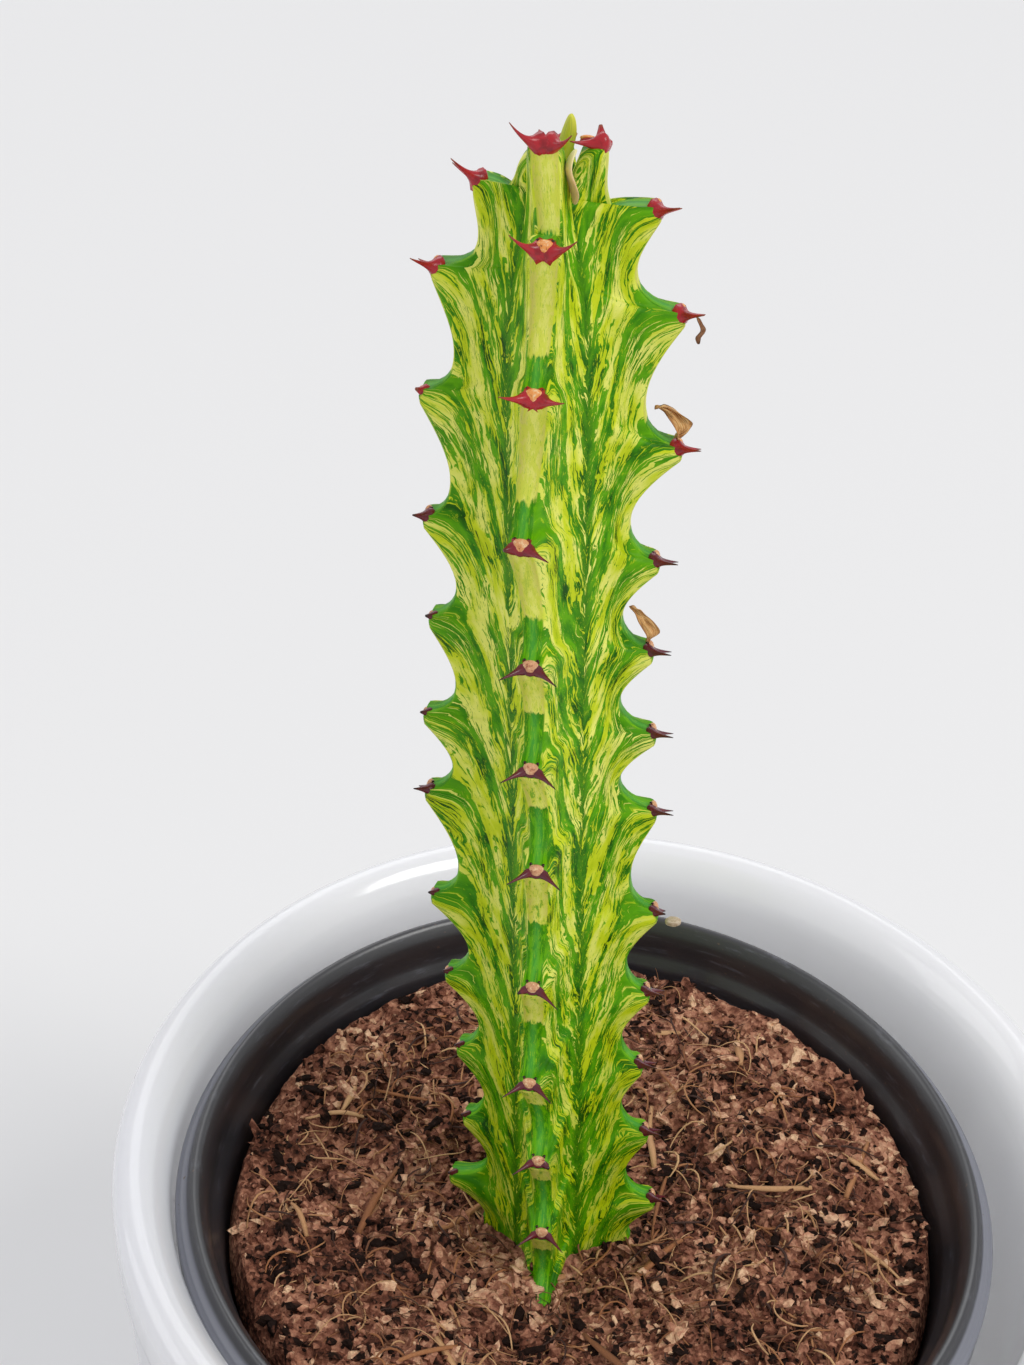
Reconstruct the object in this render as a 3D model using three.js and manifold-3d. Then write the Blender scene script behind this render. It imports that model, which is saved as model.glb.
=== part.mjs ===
import * as THREE from 'three';
import { mergeVertices } from 'three/addons/utils/BufferGeometryUtils.js';
import Module from 'manifold-3d';

// A young variegated African milk tree, four ribs with red paired spines, rooted in a black nursery
// pot that stands inside a glossy white cover pot. Millimetres, +Z up. The origin is the middle of
// the white pot's underside, on the surface that it stands on.

const wasm = await Module();
wasm.setup();

const CLEARANCE = 0.3; // between pieces that touch
const DEGREE = Math.PI / 180;

// White cover pot: thick rounded lip, nearly straight wall, plain foot ring
const COVER = {
  height: 108,
  lipRadius: 63,
  lipHeight: 8,
  crestRadius: 60.4,
  bodyRadius: 62.4,
  footRadius: 58,
  innerRadius: 56,
  innerFloorRadius: 52.5,
  floor: 9,
  footRecess: 1.5,
  footRing: 6,
  sides: 44,
};

// Nursery pot: the common 10.5 cm thin plastic pot, pushed a little to the left in the white one
const NURSERY = {
  centre: [-2.8, -1.4],
  height: 94.5,
  flangeRadius: 52.5,
  skirt: 7.5,
  beadRadius: 50.1,
  stepRadius: 48.4,
  wallRadius: 46.9,
  floorRadius: 36.6,
  floor: 3,
  wall: 1.1,
  holeRadius: 4,
  holeCircle: 27,
  holes: 6,
  sides: 44,
};

// Potting mix: bark and coir, a little lower round the stem than at the pot's edge
const SOIL = {
  edgeRadius: 45.3,
  edgeBelowRim: 10.8,
  dipAtStem: 3,
  rings: 12,
  sectors: 44,
  crumbs: 28,
  straws: 14,
  seed: 11,
};

// Stem: heights are above the level of the potting mix at the pot's edge
const STEM = {
  foot: [-7, -3.5],
  lean: 3.3 * DEGREE, // to the left
  turn: 6 * DEGREE, // of the whole star, front rib towards the left
  buried: 27,
  groove: 3.9, // half the square core between the ribs
  crestHalfWidth: 1.25,
  notchRise: 1.8,
  flare: 2.2, // how late each tooth swings out
  waist: 0.5, // how much deeper the crest runs just above a notch
  bluntHalf: 0.75, // half the height of a tooth's blunt end, under the spines
  growingPoint: 138.2,
  pitReach: 1.9,
};

// Each rib has its teeth from the soil up, as height of the tip, reach from the stem's middle,
// reach of the notch above it and, where the crest sways, how far to the side. Opposite ribs carry
// their teeth at nearly the same heights, as leaf pairs do. Teeth numbered up to bareBelow or from
// bareAbove have no spines, spineTilt turns the pairs of a side rib, most at the foot, and upturn is
// how far the tips of the youngest spines rise. shortSpines gives, by tooth, the shares of the full
// length that a worn pair has kept, and topSpines the youngest pair as outward, sideways and up.
const WORN = [0.34, 0.34];
const RIBS = {
  front: {
    root: [-9, 11.5],
    teeth: [[-3.5, 13.6, 9.8], [8.5, 12, 9.2, 0.2], [21, 11.9, 8.8, -0.2], [34, 12.1, 8.9, -1.2],
      [49.5, 12.6, 9, -0.7], [66.5, 12.8, 9, -0.2], [79.5, 12.4, 9, -0.8], [92, 12.2, 9, -0.8],
      [106, 12.6, 9.2, -1.6], [121.8, 12.6, 9, -0.3], [135.4, 11, 7, 0.5], [143.5, 6.8, 4, 0.05],
      [140.8, 3.4, 2.6]],
    bareBelow: 1,
    bareAbove: 12,
    spineTilt: 0,
    upturn: 2.7,
    shortSpines: { 2: [1, 0.34], 4: [0.4, 1.1], 8: [0.4, 1] },
    topSpines: [[2.1, -2.35, 0.85], [2.1, 1.85, 0.2]],
  },
  right: {
    root: [-3, 10.5],
    teeth: [[4.5, 13.5, 10], [16.5, 12.3, 9.2], [28, 11.3, 9], [40, 11.8, 9.3], [52.5, 12.4, 9.5],
      [67, 11.8, 8], [77.5, 11.4, 7.8], [88, 10.8, 7.8], [99, 11.1, 8.3], [112, 12.9, 9.5],
      [126, 12.7, 8.4], [136, 10.1, 5.6], [141.8, 5, 2.8]],
    bareBelow: 0,
    bareAbove: 13,
    spineTilt: -0.55,
    upturn: 0.6,
    shortSpines: { 4: [0.58, 0.58] },
    topSpines: [[-2.7, -1.3, 0.1], [-0.3, 0.9, 1.1]],
  },
  back: {
    root: [-9, 9.5],
    teeth: [[-4, 11.5, 9.5], [9, 12.2, 9.2], [22, 11.8, 8.8, 0.3], [35, 12, 9, 0.6], [50, 12.5, 9.2],
      [66, 12.6, 9.2, -0.4], [79, 12.4, 9], [91.5, 12, 8.9, 0.5], [105.5, 12.4, 9.2], [120, 12.2, 8.6],
      [132.5, 10.2, 6.6], [139.8, 5.2, 3.6], [139.6, 3.2, 2.6]],
    bareBelow: 1,
    bareAbove: 12,
    spineTilt: 0,
    upturn: 1.6,
    shortSpines: {},
    topSpines: [[1.5, -1, -0.2], [1.5, 1.3, -0.2]],
  },
  left: {
    root: [-3, 8.8],
    teeth: [[4.5, 12.9, 8.4], [15.5, 10.9, 8.6], [27.5, 11.4, 9], [39.5, 12.5, 10], [51.5, 13.8, 10.9],
      [66.5, 14, 11.2], [77, 13.8, 10.6], [89.5, 12.8, 10.2], [101.5, 13, 10.5], [115.5, 12.9, 9.8],
      [128.5, 11.3, 7.3], [137.4, 7.2, 4], [140.6, 2.1, 1.9]],
    bareBelow: 0,
    bareAbove: 12,
    spineTilt: 0.55,
    upturn: 1.2,
    shortSpines: { 0: WORN, 1: WORN, 2: WORN, 3: WORN, 4: WORN, 5: [0.7, 0.7], 6: WORN, 7: WORN,
      8: [0.6, 0.6], 9: WORN },
    topSpines: [[2.9, -2.1, 0.1], [2.3, 2.1, 2]],
  },
};

const SPINE = {
  length: 3.4,
  rootDepth: 1,
  shieldRadius: 0.95,
  shankRadius: 0.36,
  apart: 0.6, // half the distance between the two spines of a pair
  spread: 0.66,
  upturnFrom: 95,
  sides: 5,
};

const soilLevel = COVER.height - SOIL.edgeBelowRim;
const nurseryBase = COVER.floor + CLEARANCE;

// A repeatable draw between 0 and 1
function makeDraw(seed) {
  let state = seed;
  return () => {
    state = (state * 1664525 + 1013904223) % 4294967296;
    return state / 4294967296;
  };
}

function mix(from, to, share) {
  return from + (to - from) * share;
}

function smooth(share) {
  const held = Math.min(1, Math.max(0, share));
  return held * held * (3 - 2 * held);
}

// Points along a round corner, as [radius, height] pairs
function arc(centre, radius, fromDegrees, toDegrees, steps) {
  const points = [];
  for (let i = 0; i <= steps; i += 1) {
    const angle = mix(fromDegrees, toDegrees, i / steps) * DEGREE;
    points.push([centre[0] + radius * Math.cos(angle), centre[1] + radius * Math.sin(angle)]);
  }
  return points;
}

// Position-only geometry with shared corners and no empty triangles, its faces pointing out
function closedSurface(geometry) {
  const bare = geometry.clone();
  bare.deleteAttribute('normal');
  bare.deleteAttribute('uv');
  const merged = mergeVertices(bare, 1e-4);
  const position = merged.getAttribute('position');
  const triangles = [];
  let volume = 0;
  const a = new THREE.Vector3();
  const b = new THREE.Vector3();
  const c = new THREE.Vector3();
  for (let i = 0; i < merged.index.count; i += 3) {
    const corners = [0, 1, 2].map((step) => merged.index.getX(i + step));
    if (new Set(corners).size === 3) {
      triangles.push(corners);
      a.fromBufferAttribute(position, corners[0]);
      b.fromBufferAttribute(position, corners[1]);
      c.fromBufferAttribute(position, corners[2]);
      volume += a.dot(b.cross(c));
    }
  }
  const outward = volume > 0 ? triangles : triangles.map(([p, q, r]) => [p, r, q]);
  merged.setIndex(outward.flat());
  return merged;
}

function toSolid(geometry) {
  const surface = closedSurface(geometry);
  const mesh = new wasm.Mesh({
    numProp: 3,
    vertProperties: new Float32Array(surface.getAttribute('position').array),
    triVerts: new Uint32Array(surface.index.array),
  });
  return new wasm.Manifold(mesh);
}

function toGeometry(solid) {
  const mesh = solid.getMesh();
  const geometry = new THREE.BufferGeometry();
  geometry.setAttribute('position', new THREE.BufferAttribute(mesh.vertProperties, 3));
  geometry.setIndex(new THREE.BufferAttribute(mesh.triVerts, 1));
  return geometry;
}

// A closed skin through rings of points, each end drawn to one point
function loft(rings, startPoint, endPoint) {
  const count = rings[0].length;
  const points = [startPoint, ...rings.flat(), endPoint];
  const triangles = [];
  const last = points.length - 1;
  const at = (ring, i) => 1 + ring * count + (i % count);
  for (let i = 0; i < count; i += 1) {
    triangles.push(0, at(0, i + 1), at(0, i));
    triangles.push(last, at(rings.length - 1, i), at(rings.length - 1, i + 1));
  }
  for (let ring = 0; ring + 1 < rings.length; ring += 1) {
    for (let i = 0; i < count; i += 1) {
      triangles.push(at(ring, i), at(ring, i + 1), at(ring + 1, i + 1));
      triangles.push(at(ring, i), at(ring + 1, i + 1), at(ring + 1, i));
    }
  }
  const geometry = new THREE.BufferGeometry().setFromPoints(points);
  geometry.setIndex(triangles);
  return geometry;
}

// A body turned about the vertical from [radius, height] pairs
function turned(profile, sides) {
  const points = profile.map(([radius, height]) => new THREE.Vector2(radius, height));
  return new THREE.LatheGeometry(points, sides).rotateX(Math.PI / 2);
}

function makeMesh(name, geometry, colour, roughness) {
  const material = new THREE.MeshStandardMaterial({ color: colour, roughness, metalness: 0 });
  const mesh = new THREE.Mesh(geometry, material);
  mesh.name = name;
  return mesh;
}

function coverPot() {
  const { height, lipRadius, lipHeight, crestRadius, bodyRadius, footRadius, innerRadius } = COVER;
  const { innerFloorRadius, floor, footRecess, footRing } = COVER;
  const lipRound = lipRadius - crestRadius;
  const footRound = 1.5;
  const fillet = 4;
  const profile = [
    [0, footRecess],
    [footRadius - footRing - 1, footRecess],
    [footRadius - footRing, 0],
    ...arc([footRadius - footRound, footRound], footRound, -90, 0, 2),
    [bodyRadius, height - lipHeight - 1],
    [lipRadius, height - lipHeight],
    ...arc([crestRadius, height - lipRound], lipRound, 0, 90, 4),
    [crestRadius - 1.6, height - 0.5],
    [innerRadius + 1, height - 2.6],
    [innerRadius, height - 5],
    [innerRadius - 0.1, height - 12],
    ...arc([innerFloorRadius - fillet, floor + fillet], fillet, 0, -90, 2),
    [0, floor],
  ];
  return makeMesh('cover_pot', turned(profile, COVER.sides), '#e8e8ec', 0.15);
}

function nurseryProfile() {
  const { height, flangeRadius, skirt, beadRadius, stepRadius, wallRadius, floorRadius } = NURSERY;
  const { floor, wall } = NURSERY;
  const shoulder = height - 8;
  return [
    [0, 1.6],
    [floorRadius - 13, 1.6],
    [floorRadius - 12, 0],
    [floorRadius, 0],
    [floorRadius + wall, 1.4],
    [wallRadius + wall, shoulder - 1],
    [stepRadius + wall - 0.2, shoulder + 1],
    [stepRadius + wall, height - 4],
    [flangeRadius - 1.1, height - 4.4],
    [flangeRadius - 1.1, height - skirt],
    [flangeRadius - 0.2, height - skirt],
    [flangeRadius, height - 2.8],
    [flangeRadius - 0.7, height - 1.9],
    [beadRadius + 0.9, height - 1.4],
    [beadRadius + 0.5, height - 0.3],
    [beadRadius - 0.1, height],
    [beadRadius - 0.8, height - 0.5],
    [stepRadius, height - 2],
    [stepRadius - 0.2, shoulder + 2.4],
    [wallRadius, shoulder],
    [floorRadius - 0.2, floor + 1.6],
    [floorRadius - 1.8, floor],
    [0, floor],
  ];
}

function nurseryPot() {
  let pot = toSolid(turned(nurseryProfile(), NURSERY.sides));
  for (let i = 0; i < NURSERY.holes; i += 1) {
    const angle = (i / NURSERY.holes) * 2 * Math.PI;
    const drill = new THREE.CylinderGeometry(NURSERY.holeRadius, NURSERY.holeRadius, 12, 12);
    drill.rotateX(Math.PI / 2);
    drill.translate(NURSERY.holeCircle * Math.cos(angle), NURSERY.holeCircle * Math.sin(angle), 2);
    pot = pot.subtract(toSolid(drill));
  }
  const mesh = makeMesh('nursery_pot', toGeometry(pot), '#2c2e34', 0.3);
  mesh.position.set(NURSERY.centre[0], NURSERY.centre[1], nurseryBase);
  return mesh;
}

// The middle of the stem at a height above the soil level
function stemMiddle(height) {
  const [x, y] = STEM.foot;
  return new THREE.Vector3(x - Math.tan(STEM.lean) * height, y, soilLevel + height);
}

// Outward and sideways directions of a rib, numbered 0 front, 1 right, 2 back, 3 left
function ribDirections(number) {
  const angle = -Math.PI / 2 - STEM.turn + (number * Math.PI) / 2;
  return {
    outward: new THREE.Vector3(Math.cos(angle), Math.sin(angle), 0),
    sideways: new THREE.Vector3(-Math.sin(angle), Math.cos(angle), 0),
  };
}

// The stem's core narrows to the growing point
function coreHalf(height) {
  return mix(STEM.groove, 1.5, smooth((height - 122) / 21));
}

// Crest stations of one rib from the buried end up: a slow flare to each blunt tip, then a shelf in
function crestStations(rib) {
  const [rootHeight, rootReach] = rib.root;
  const stations = [
    { height: -STEM.buried, reach: rootReach * 0.62, half: 1, sway: 0 },
    { height: rootHeight - 4, reach: rootReach * 0.96, half: 1.1, sway: 0 },
  ];
  let low = { height: rootHeight, reach: rootReach, sway: 0 };
  rib.teeth.forEach(([height, reach, notchReach, sway = 0], i) => {
    const spare = rib.teeth[i + 1] ? rib.teeth[i + 1][0] - height : -1;
    const blunt = STEM.bluntHalf * smooth(Math.abs(spare) / 5);
    for (const share of [0, 0.33, 0.72, 1]) {
      const waist = STEM.waist * 6.75 * share * (1 - share) ** 2;
      stations.push({
        height: mix(low.height, height - blunt, share),
        reach: mix(low.reach, reach, share ** STEM.flare) - waist,
        half: STEM.crestHalfWidth * mix(0.86, 1.12, share),
        sway: mix(low.sway, sway, share),
      });
    }
    stations.push({ height: height + blunt, reach: reach - 0.35, half: STEM.crestHalfWidth, sway });
    const rise = mix(STEM.notchRise, -0.8, smooth((height - 125) / 12));
    low = { height: height + blunt + rise, reach: notchReach, sway };
    stations.push({
      height: mix(height + blunt, low.height, 0.25),
      reach: mix(reach, low.reach, 0.62),
      half: STEM.crestHalfWidth * 0.82,
      sway,
    });
  });
  stations.push({ height: low.height, reach: low.reach, half: 0.9, sway: 0 });
  stations.push({ height: STEM.growingPoint + 0.5, reach: STEM.pitReach, half: 0.8, sway: 0 });
  return stations;
}

// Half of a rib's side, from the crest's edge (0) to the bottom of the groove (1)
function flankPoint(reach, half, core, share) {
  const inner = 1 - share;
  const along = [reach, core * 1.42, core];
  const across = [half, half * 1.5, core];
  const blend = (values) => inner * inner * values[0] + 2 * inner * share * values[1]
    + share * share * values[2];
  return [blend(along), blend(across)];
}

// The bottom of the groove between two ribs: it sinks towards the pit at the top
function grooveBetween(crest, neighbour) {
  const tallest = Math.max(crest.height, neighbour.height);
  const height = (crest.height + neighbour.height) / 2 - 3.2 * smooth((tallest - 130) / 9);
  const shortest = Math.min(crest.reach, neighbour.reach);
  return { height, core: Math.min(coreHalf(height), 0.62 * shortest) };
}

// The whole star as one skin; a spare width round it gives the hole that it stands in
function stemSkin(spare) {
  const ribs = Object.values(RIBS).map(crestStations);
  const flankShares = [0.67, 0.34, 0];
  const rings = ribs[0].map((_, level) => {
    const ring = [];
    ribs.forEach((stations, number) => {
      const { outward, sideways } = ribDirections(number);
      const crest = stations[level];
      const place = (side, share) => {
        const groove = grooveBetween(crest, ribs[(number + side + 4) % 4][level]);
        const height = mix(crest.height, groove.height, smooth(share));
        const core = groove.core + spare;
        const [along, across] = flankPoint(crest.reach + spare, crest.half + spare, core, share);
        const aside = side * across + crest.sway * (1 - share) ** 2;
        return stemMiddle(height).addScaledVector(outward, along).addScaledVector(sideways, aside);
      };
      flankShares.forEach((share) => ring.push(place(-1, share)));
      [...flankShares].reverse().forEach((share) => ring.push(place(1, share)));
      ring.push(place(1, 1));
    });
    return ring;
  });
  const end = stemMiddle(-STEM.buried - spare);
  rings[0].forEach((point) => { point.z = end.z; });
  return loft(rings, end, stemMiddle(STEM.growingPoint + spare));
}

// One curved, tapering spine whose root is sunk in the flesh
function spine(base, span, bend) {
  const direction = span.clone().normalize();
  const across = new THREE.Vector3().crossVectors(direction, new THREE.Vector3(0, 0, 1)).normalize();
  const up = new THREE.Vector3().crossVectors(across, direction).normalize();
  const ringAt = (along, radius) => {
    const centre = base.clone().addScaledVector(span, along);
    centre.z += bend * along * Math.abs(along);
    return Array.from({ length: SPINE.sides }, (_, i) => {
      const angle = (i / SPINE.sides) * 2 * Math.PI;
      return centre.clone().addScaledVector(across, radius * Math.cos(angle))
        .addScaledVector(up, radius * Math.sin(angle));
    });
  };
  const root = -SPINE.rootDepth / span.length();
  const rings = [ringAt(root, SPINE.shieldRadius), ringAt(0.4, SPINE.shankRadius)];
  const start = base.clone().addScaledVector(direction, -SPINE.rootDepth);
  const tip = base.clone().add(span);
  tip.z += bend;
  return toSolid(loft(rings, start, tip));
}

// The pair of spines on one tooth, spread sideways; the young top ones curve up
function spinePair(number, rib, tooth) {
  const [height, reach, , sway = 0] = rib.teeth[tooth];
  const { outward, sideways } = ribDirections(number);
  const youth = Math.max(0, (height - SPINE.upturnFrom) / (STEM.growingPoint + 5 - SPINE.upturnFrom));
  const rise = rib.upturn * youth ** 1.6;
  const tilt = rib.spineTilt * mix(1.1, 0.45, height / STEM.growingPoint);
  const shares = rib.shortSpines[tooth] ?? [1, 1];
  return [-1, 1].map((side, one) => {
    const base = stemMiddle(height + 0.1).addScaledVector(outward, reach - 0.5)
      .addScaledVector(sideways, side * SPINE.apart + sway);
    const upward = 0.45 * (rise / SPINE.length) + side * tilt;
    const plain = new THREE.Vector3(mix(0.75, 0.6, youth), side * SPINE.spread, upward)
      .setLength(SPINE.length * shares[one]);
    const given = tooth + 1 === rib.bareAbove ? rib.topSpines[one] : plain.toArray();
    const span = outward.clone().multiplyScalar(given[0]).addScaledVector(sideways, given[1])
      .add(new THREE.Vector3(0, 0, given[2]));
    return spine(base, span, 0.55 * rise);
  });
}

function stem() {
  const hasSpines = (rib, tooth) => tooth >= rib.bareBelow && tooth < rib.bareAbove;
  const spines = Object.values(RIBS).flatMap((rib, number) => rib.teeth
    .flatMap((_, tooth) => (hasSpines(rib, tooth) ? spinePair(number, rib, tooth) : [])));
  const body = wasm.Manifold.union([toSolid(stemSkin(0)), ...spines]);
  return makeMesh('stem', toGeometry(body), '#93b82f', 0.42);
}

// Low swells of the potting mix
function soilRelief(x, y) {
  const fromStem = Math.hypot(x - STEM.foot[0], y - STEM.foot[1]);
  const dip = SOIL.dipAtStem * (1 - smooth((fromStem - 8) / 24));
  const swells = 0.55 * Math.sin(0.23 * x + 0.9) * Math.cos(0.19 * y - 0.5)
    + 0.4 * Math.sin(0.41 * x - 0.33 * y + 2.1) + 0.3 * Math.cos(0.52 * y + 0.37 * x);
  const hollow = 2.6 * Math.exp(-((x - 8.5) ** 2 + (y - 12) ** 2) / 14);
  return swells - dip - hollow;
}

function soilBody() {
  const [centreX, centreY] = NURSERY.centre;
  const side = [
    [NURSERY.floorRadius - 2.4, nurseryBase + NURSERY.floor + CLEARANCE],
    [NURSERY.floorRadius - 0.8, nurseryBase + NURSERY.floor + 2],
    [NURSERY.wallRadius - 0.9, soilLevel - 5],
    [SOIL.edgeRadius, soilLevel - 2],
  ];
  const circle = (radius, heightAt) => Array.from({ length: SOIL.sectors }, (_, i) => {
    const angle = (i / SOIL.sectors) * 2 * Math.PI;
    const x = centreX + radius * Math.cos(angle);
    const y = centreY + radius * Math.sin(angle);
    return new THREE.Vector3(x, y, heightAt(x, y));
  });
  const rings = side.map(([radius, height]) => circle(radius, () => height));
  for (let i = 0; i < SOIL.rings; i += 1) {
    const radius = mix(SOIL.edgeRadius - 1.2, 2, i / (SOIL.rings - 1));
    rings.push(circle(radius, (x, y) => soilLevel + soilRelief(x, y)));
  }
  const bottom = new THREE.Vector3(centreX, centreY, side[0][1]);
  const top = new THREE.Vector3(centreX, centreY, soilLevel + soilRelief(centreX, centreY));
  return toSolid(loft(rings, bottom, top));
}

// A random spot on the potting mix, clear of its edge
function soilSpot(draw, margin) {
  const radius = (SOIL.edgeRadius - margin) * Math.sqrt(draw());
  const angle = draw() * 2 * Math.PI;
  const x = NURSERY.centre[0] + radius * Math.cos(angle);
  const y = NURSERY.centre[1] + radius * Math.sin(angle);
  return new THREE.Vector3(x, y, soilLevel + soilRelief(x, y));
}

function crumb(draw) {
  const size = mix(0.9, 2.1, draw());
  const lump = new THREE.IcosahedronGeometry(size, 0);
  lump.scale(1, mix(0.6, 1, draw()), mix(0.5, 0.8, draw()));
  lump.rotateX(draw() * 0.8);
  lump.rotateZ(draw() * 2 * Math.PI);
  const spot = soilSpot(draw, 3);
  return toSolid(lump.translate(spot.x, spot.y, spot.z + size * 0.12));
}

// A slim, slightly bent splinter of straw that lies half sunk
function straw(draw) {
  const length = mix(5, 13, draw());
  const thick = mix(0.45, 0.8, draw());
  const spot = soilSpot(draw, 9);
  const heading = draw() * 2 * Math.PI;
  const along = new THREE.Vector3(Math.cos(heading), Math.sin(heading), 0);
  const aside = new THREE.Vector3(-along.y, along.x, 0);
  const bend = mix(-0.12, 0.12, draw()) * length;
  const rings = [-0.5, 0, 0.5].map((share) => {
    const centre = spot.clone().addScaledVector(along, share * length)
      .addScaledVector(aside, bend * (1 - 4 * share * share));
    centre.z = soilLevel + soilRelief(centre.x, centre.y) + 0.25;
    return [[1, 0], [0, 1], [-1, 0], [0, -1]].map(([a, b]) => centre.clone()
      .addScaledVector(aside, a * thick * 1.2).add(new THREE.Vector3(0, 0, b * thick)));
  });
  const ends = [rings[0], rings[2]].map((ring) => ring[0].clone().add(ring[2]).multiplyScalar(0.5));
  return toSolid(loft(rings, ends[0], ends[1]));
}

function soil() {
  const draw = makeDraw(SOIL.seed);
  const crumbs = Array.from({ length: SOIL.crumbs }, () => crumb(draw));
  const straws = Array.from({ length: SOIL.straws }, () => straw(draw));
  const heap = wasm.Manifold.union([soilBody(), ...crumbs, ...straws]);
  const hole = toSolid(stemSkin(CLEARANCE + 0.1));
  const planted = heap.subtract(hole).subtract(hole.translate([0, 0, CLEARANCE]));
  return makeMesh('soil', toGeometry(planted), '#5d3c30', 0.95);
}

// A thin blade along a line of stations, each { at, across, face, width, thick }
function blade(stations) {
  const rings = stations.map(({ at, across, face, width, thick }) => {
    const corner = (a, b) => at.clone().addScaledVector(across, a * width / 2)
      .addScaledVector(face, b * thick / 2);
    return [corner(-1, 0), corner(-0.5, -1), corner(0.5, -1), corner(1, 0), corner(0.5, 1), corner(-0.5, 1)];
  });
  return closedSurface(loft(rings, stations[0].at, stations[stations.length - 1].at));
}

// A curled blade from points [outward, sideways, height, width] by one rib, turned as it goes
function curledBlade(number, anchorHeight, points, thick, turns) {
  const { outward, sideways } = ribDirections(number);
  const middle = stemMiddle(anchorHeight);
  const stations = points.map(([out, aside, height, width], i) => {
    const at = middle.clone().addScaledVector(outward, out).addScaledVector(sideways, aside);
    at.z += height;
    const turn = mix(turns[0], turns[1], i / (points.length - 1));
    const across = sideways.clone().multiplyScalar(Math.cos(turn))
      .addScaledVector(outward, Math.sin(turn));
    const face = outward.clone().multiplyScalar(Math.cos(turn))
      .addScaledVector(sideways, -Math.sin(turn));
    return { at, across, face, width, thick };
  });
  return blade(stations);
}

// The newest leaf stands upright in the growing point, a yellow-green spear
function tipLeaf() {
  const points = [[0, 0.6, 0.6, 0.8], [0, 0.9, 1.9, 1.3], [0, 1.1, 3.2, 1.5], [0, 1.3, 4.4, 1.4],
    [0, 1.4, 5.4, 1], [0, 1.4, 6.1, 0.5]];
  const geometry = curledBlade(0, STEM.growingPoint, points, 0.8, [0, 0.25]);
  return makeMesh('tip_leaf', geometry, '#c3d22e', 0.4);
}

// A cream scale of the next leaf stands in the groove, against the front rib's top tooth
function youngLeaf() {
  const points = [[3.9, 2.9, -1.2, 0.8], [4.3, 2.75, -0.2, 1.5], [4.8, 2.55, 0.9, 1.5],
    [5.2, 2.38, 2, 1.3], [5.3, 2.4, 3, 1.2], [5, 2.5, 3.8, 0.7]];
  const geometry = curledBlade(0, STEM.growingPoint + 0.8, points, 0.65, [1.15, 1.65]);
  return makeMesh('young_leaf', geometry, '#efcf9d', 0.5);
}

function driedLeaf(name, tooth, points) {
  const geometry = curledBlade(1, tooth[0], points, 0.65, [0.5, 2.1]);
  return makeMesh(name, geometry, '#c08a4e', 0.7);
}

function driedLeaves() {
  const [upperTooth, lowerTooth] = [RIBS.right.teeth[9], RIBS.right.teeth[7]];
  const upper = [[12.5, 0, 1.56, 0.9], [12.9, 0, 2.4, 1.8], [12, 0.2, 3.3, 2.1], [11, 0.2, 4.2, 1.6],
    [10.4, 0, 4.6, 0.8]];
  const lower = [[10.2, 0, 1.6, 0.9], [10.5, 0, 2.5, 1.7], [9.7, 0.2, 3.6, 1.9], [8.9, 0.2, 4.6, 1.4],
    [8.3, 0, 5.2, 0.7]];
  return [
    driedLeaf('dried_leaf_upper', upperTooth, upper),
    driedLeaf('dried_leaf_lower', lowerTooth, lower),
  ];
}

// A pale dried bud caught on a low spine, and a withered scrap on a high one
function driedBud() {
  const bud = new THREE.IcosahedronGeometry(0.8, 1).scale(1.15, 0.8, 0.7);
  const tooth = RIBS.right.teeth[4];
  const { outward, sideways } = ribDirections(1);
  const place = stemMiddle(tooth[0] + 0.6).addScaledVector(outward, tooth[1] + 1.95)
    .addScaledVector(sideways, -2.15);
  return makeMesh('dried_bud', closedSurface(bud.translate(...place)), '#cdbd9f', 0.7);
}

function driedScrap() {
  const tooth = RIBS.right.teeth[10];
  const points = [[14.1, -2.9, 0.64, 0.7], [14.4, -3, 0, 1], [14.1, -3, -0.7, 0.8], [14.2, -2.9, -1.4, 0.5]];
  const geometry = curledBlade(1, tooth[0], points, 0.6, [0.2, 1.4]);
  return makeMesh('dried_scrap', geometry, '#7a4a2c', 0.7);
}

const plant = new THREE.Group();
plant.add(stem(), tipLeaf(), youngLeaf(), ...driedLeaves(), driedBud(), driedScrap());

const pots = new THREE.Group();
pots.add(coverPot(), nurseryPot(), soil());

const potted = new THREE.Group();
potted.add(pots, plant);

export default potted;
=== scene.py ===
"""Looks of a young variegated milk tree in a black nursery pot inside a white cover pot.

Sizes are in millimetres in the classes below and become metres where a mesh is made. The axes are
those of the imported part: +Z up, +X to the right of the front view, and the origin in the middle of
the white pot's underside.
"""

import logging
import math
import random
from dataclasses import dataclass, field
from enum import Enum

import bpy
import numpy as np
from mathutils import Matrix, Vector, noise

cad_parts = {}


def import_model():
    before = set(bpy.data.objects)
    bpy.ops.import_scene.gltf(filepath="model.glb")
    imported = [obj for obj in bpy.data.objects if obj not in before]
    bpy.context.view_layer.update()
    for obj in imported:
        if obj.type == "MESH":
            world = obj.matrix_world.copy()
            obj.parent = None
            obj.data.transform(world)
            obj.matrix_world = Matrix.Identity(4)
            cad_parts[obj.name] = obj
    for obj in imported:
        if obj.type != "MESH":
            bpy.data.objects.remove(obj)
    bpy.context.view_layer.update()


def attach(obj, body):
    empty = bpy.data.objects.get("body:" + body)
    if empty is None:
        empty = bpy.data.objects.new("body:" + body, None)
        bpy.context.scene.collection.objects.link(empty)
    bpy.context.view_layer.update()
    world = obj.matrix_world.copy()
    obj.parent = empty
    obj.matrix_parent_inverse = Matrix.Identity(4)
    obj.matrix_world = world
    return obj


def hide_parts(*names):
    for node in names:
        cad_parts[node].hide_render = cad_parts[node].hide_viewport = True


LOG = logging.getLogger("potted_milk_tree")
MM = 0.001
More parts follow.
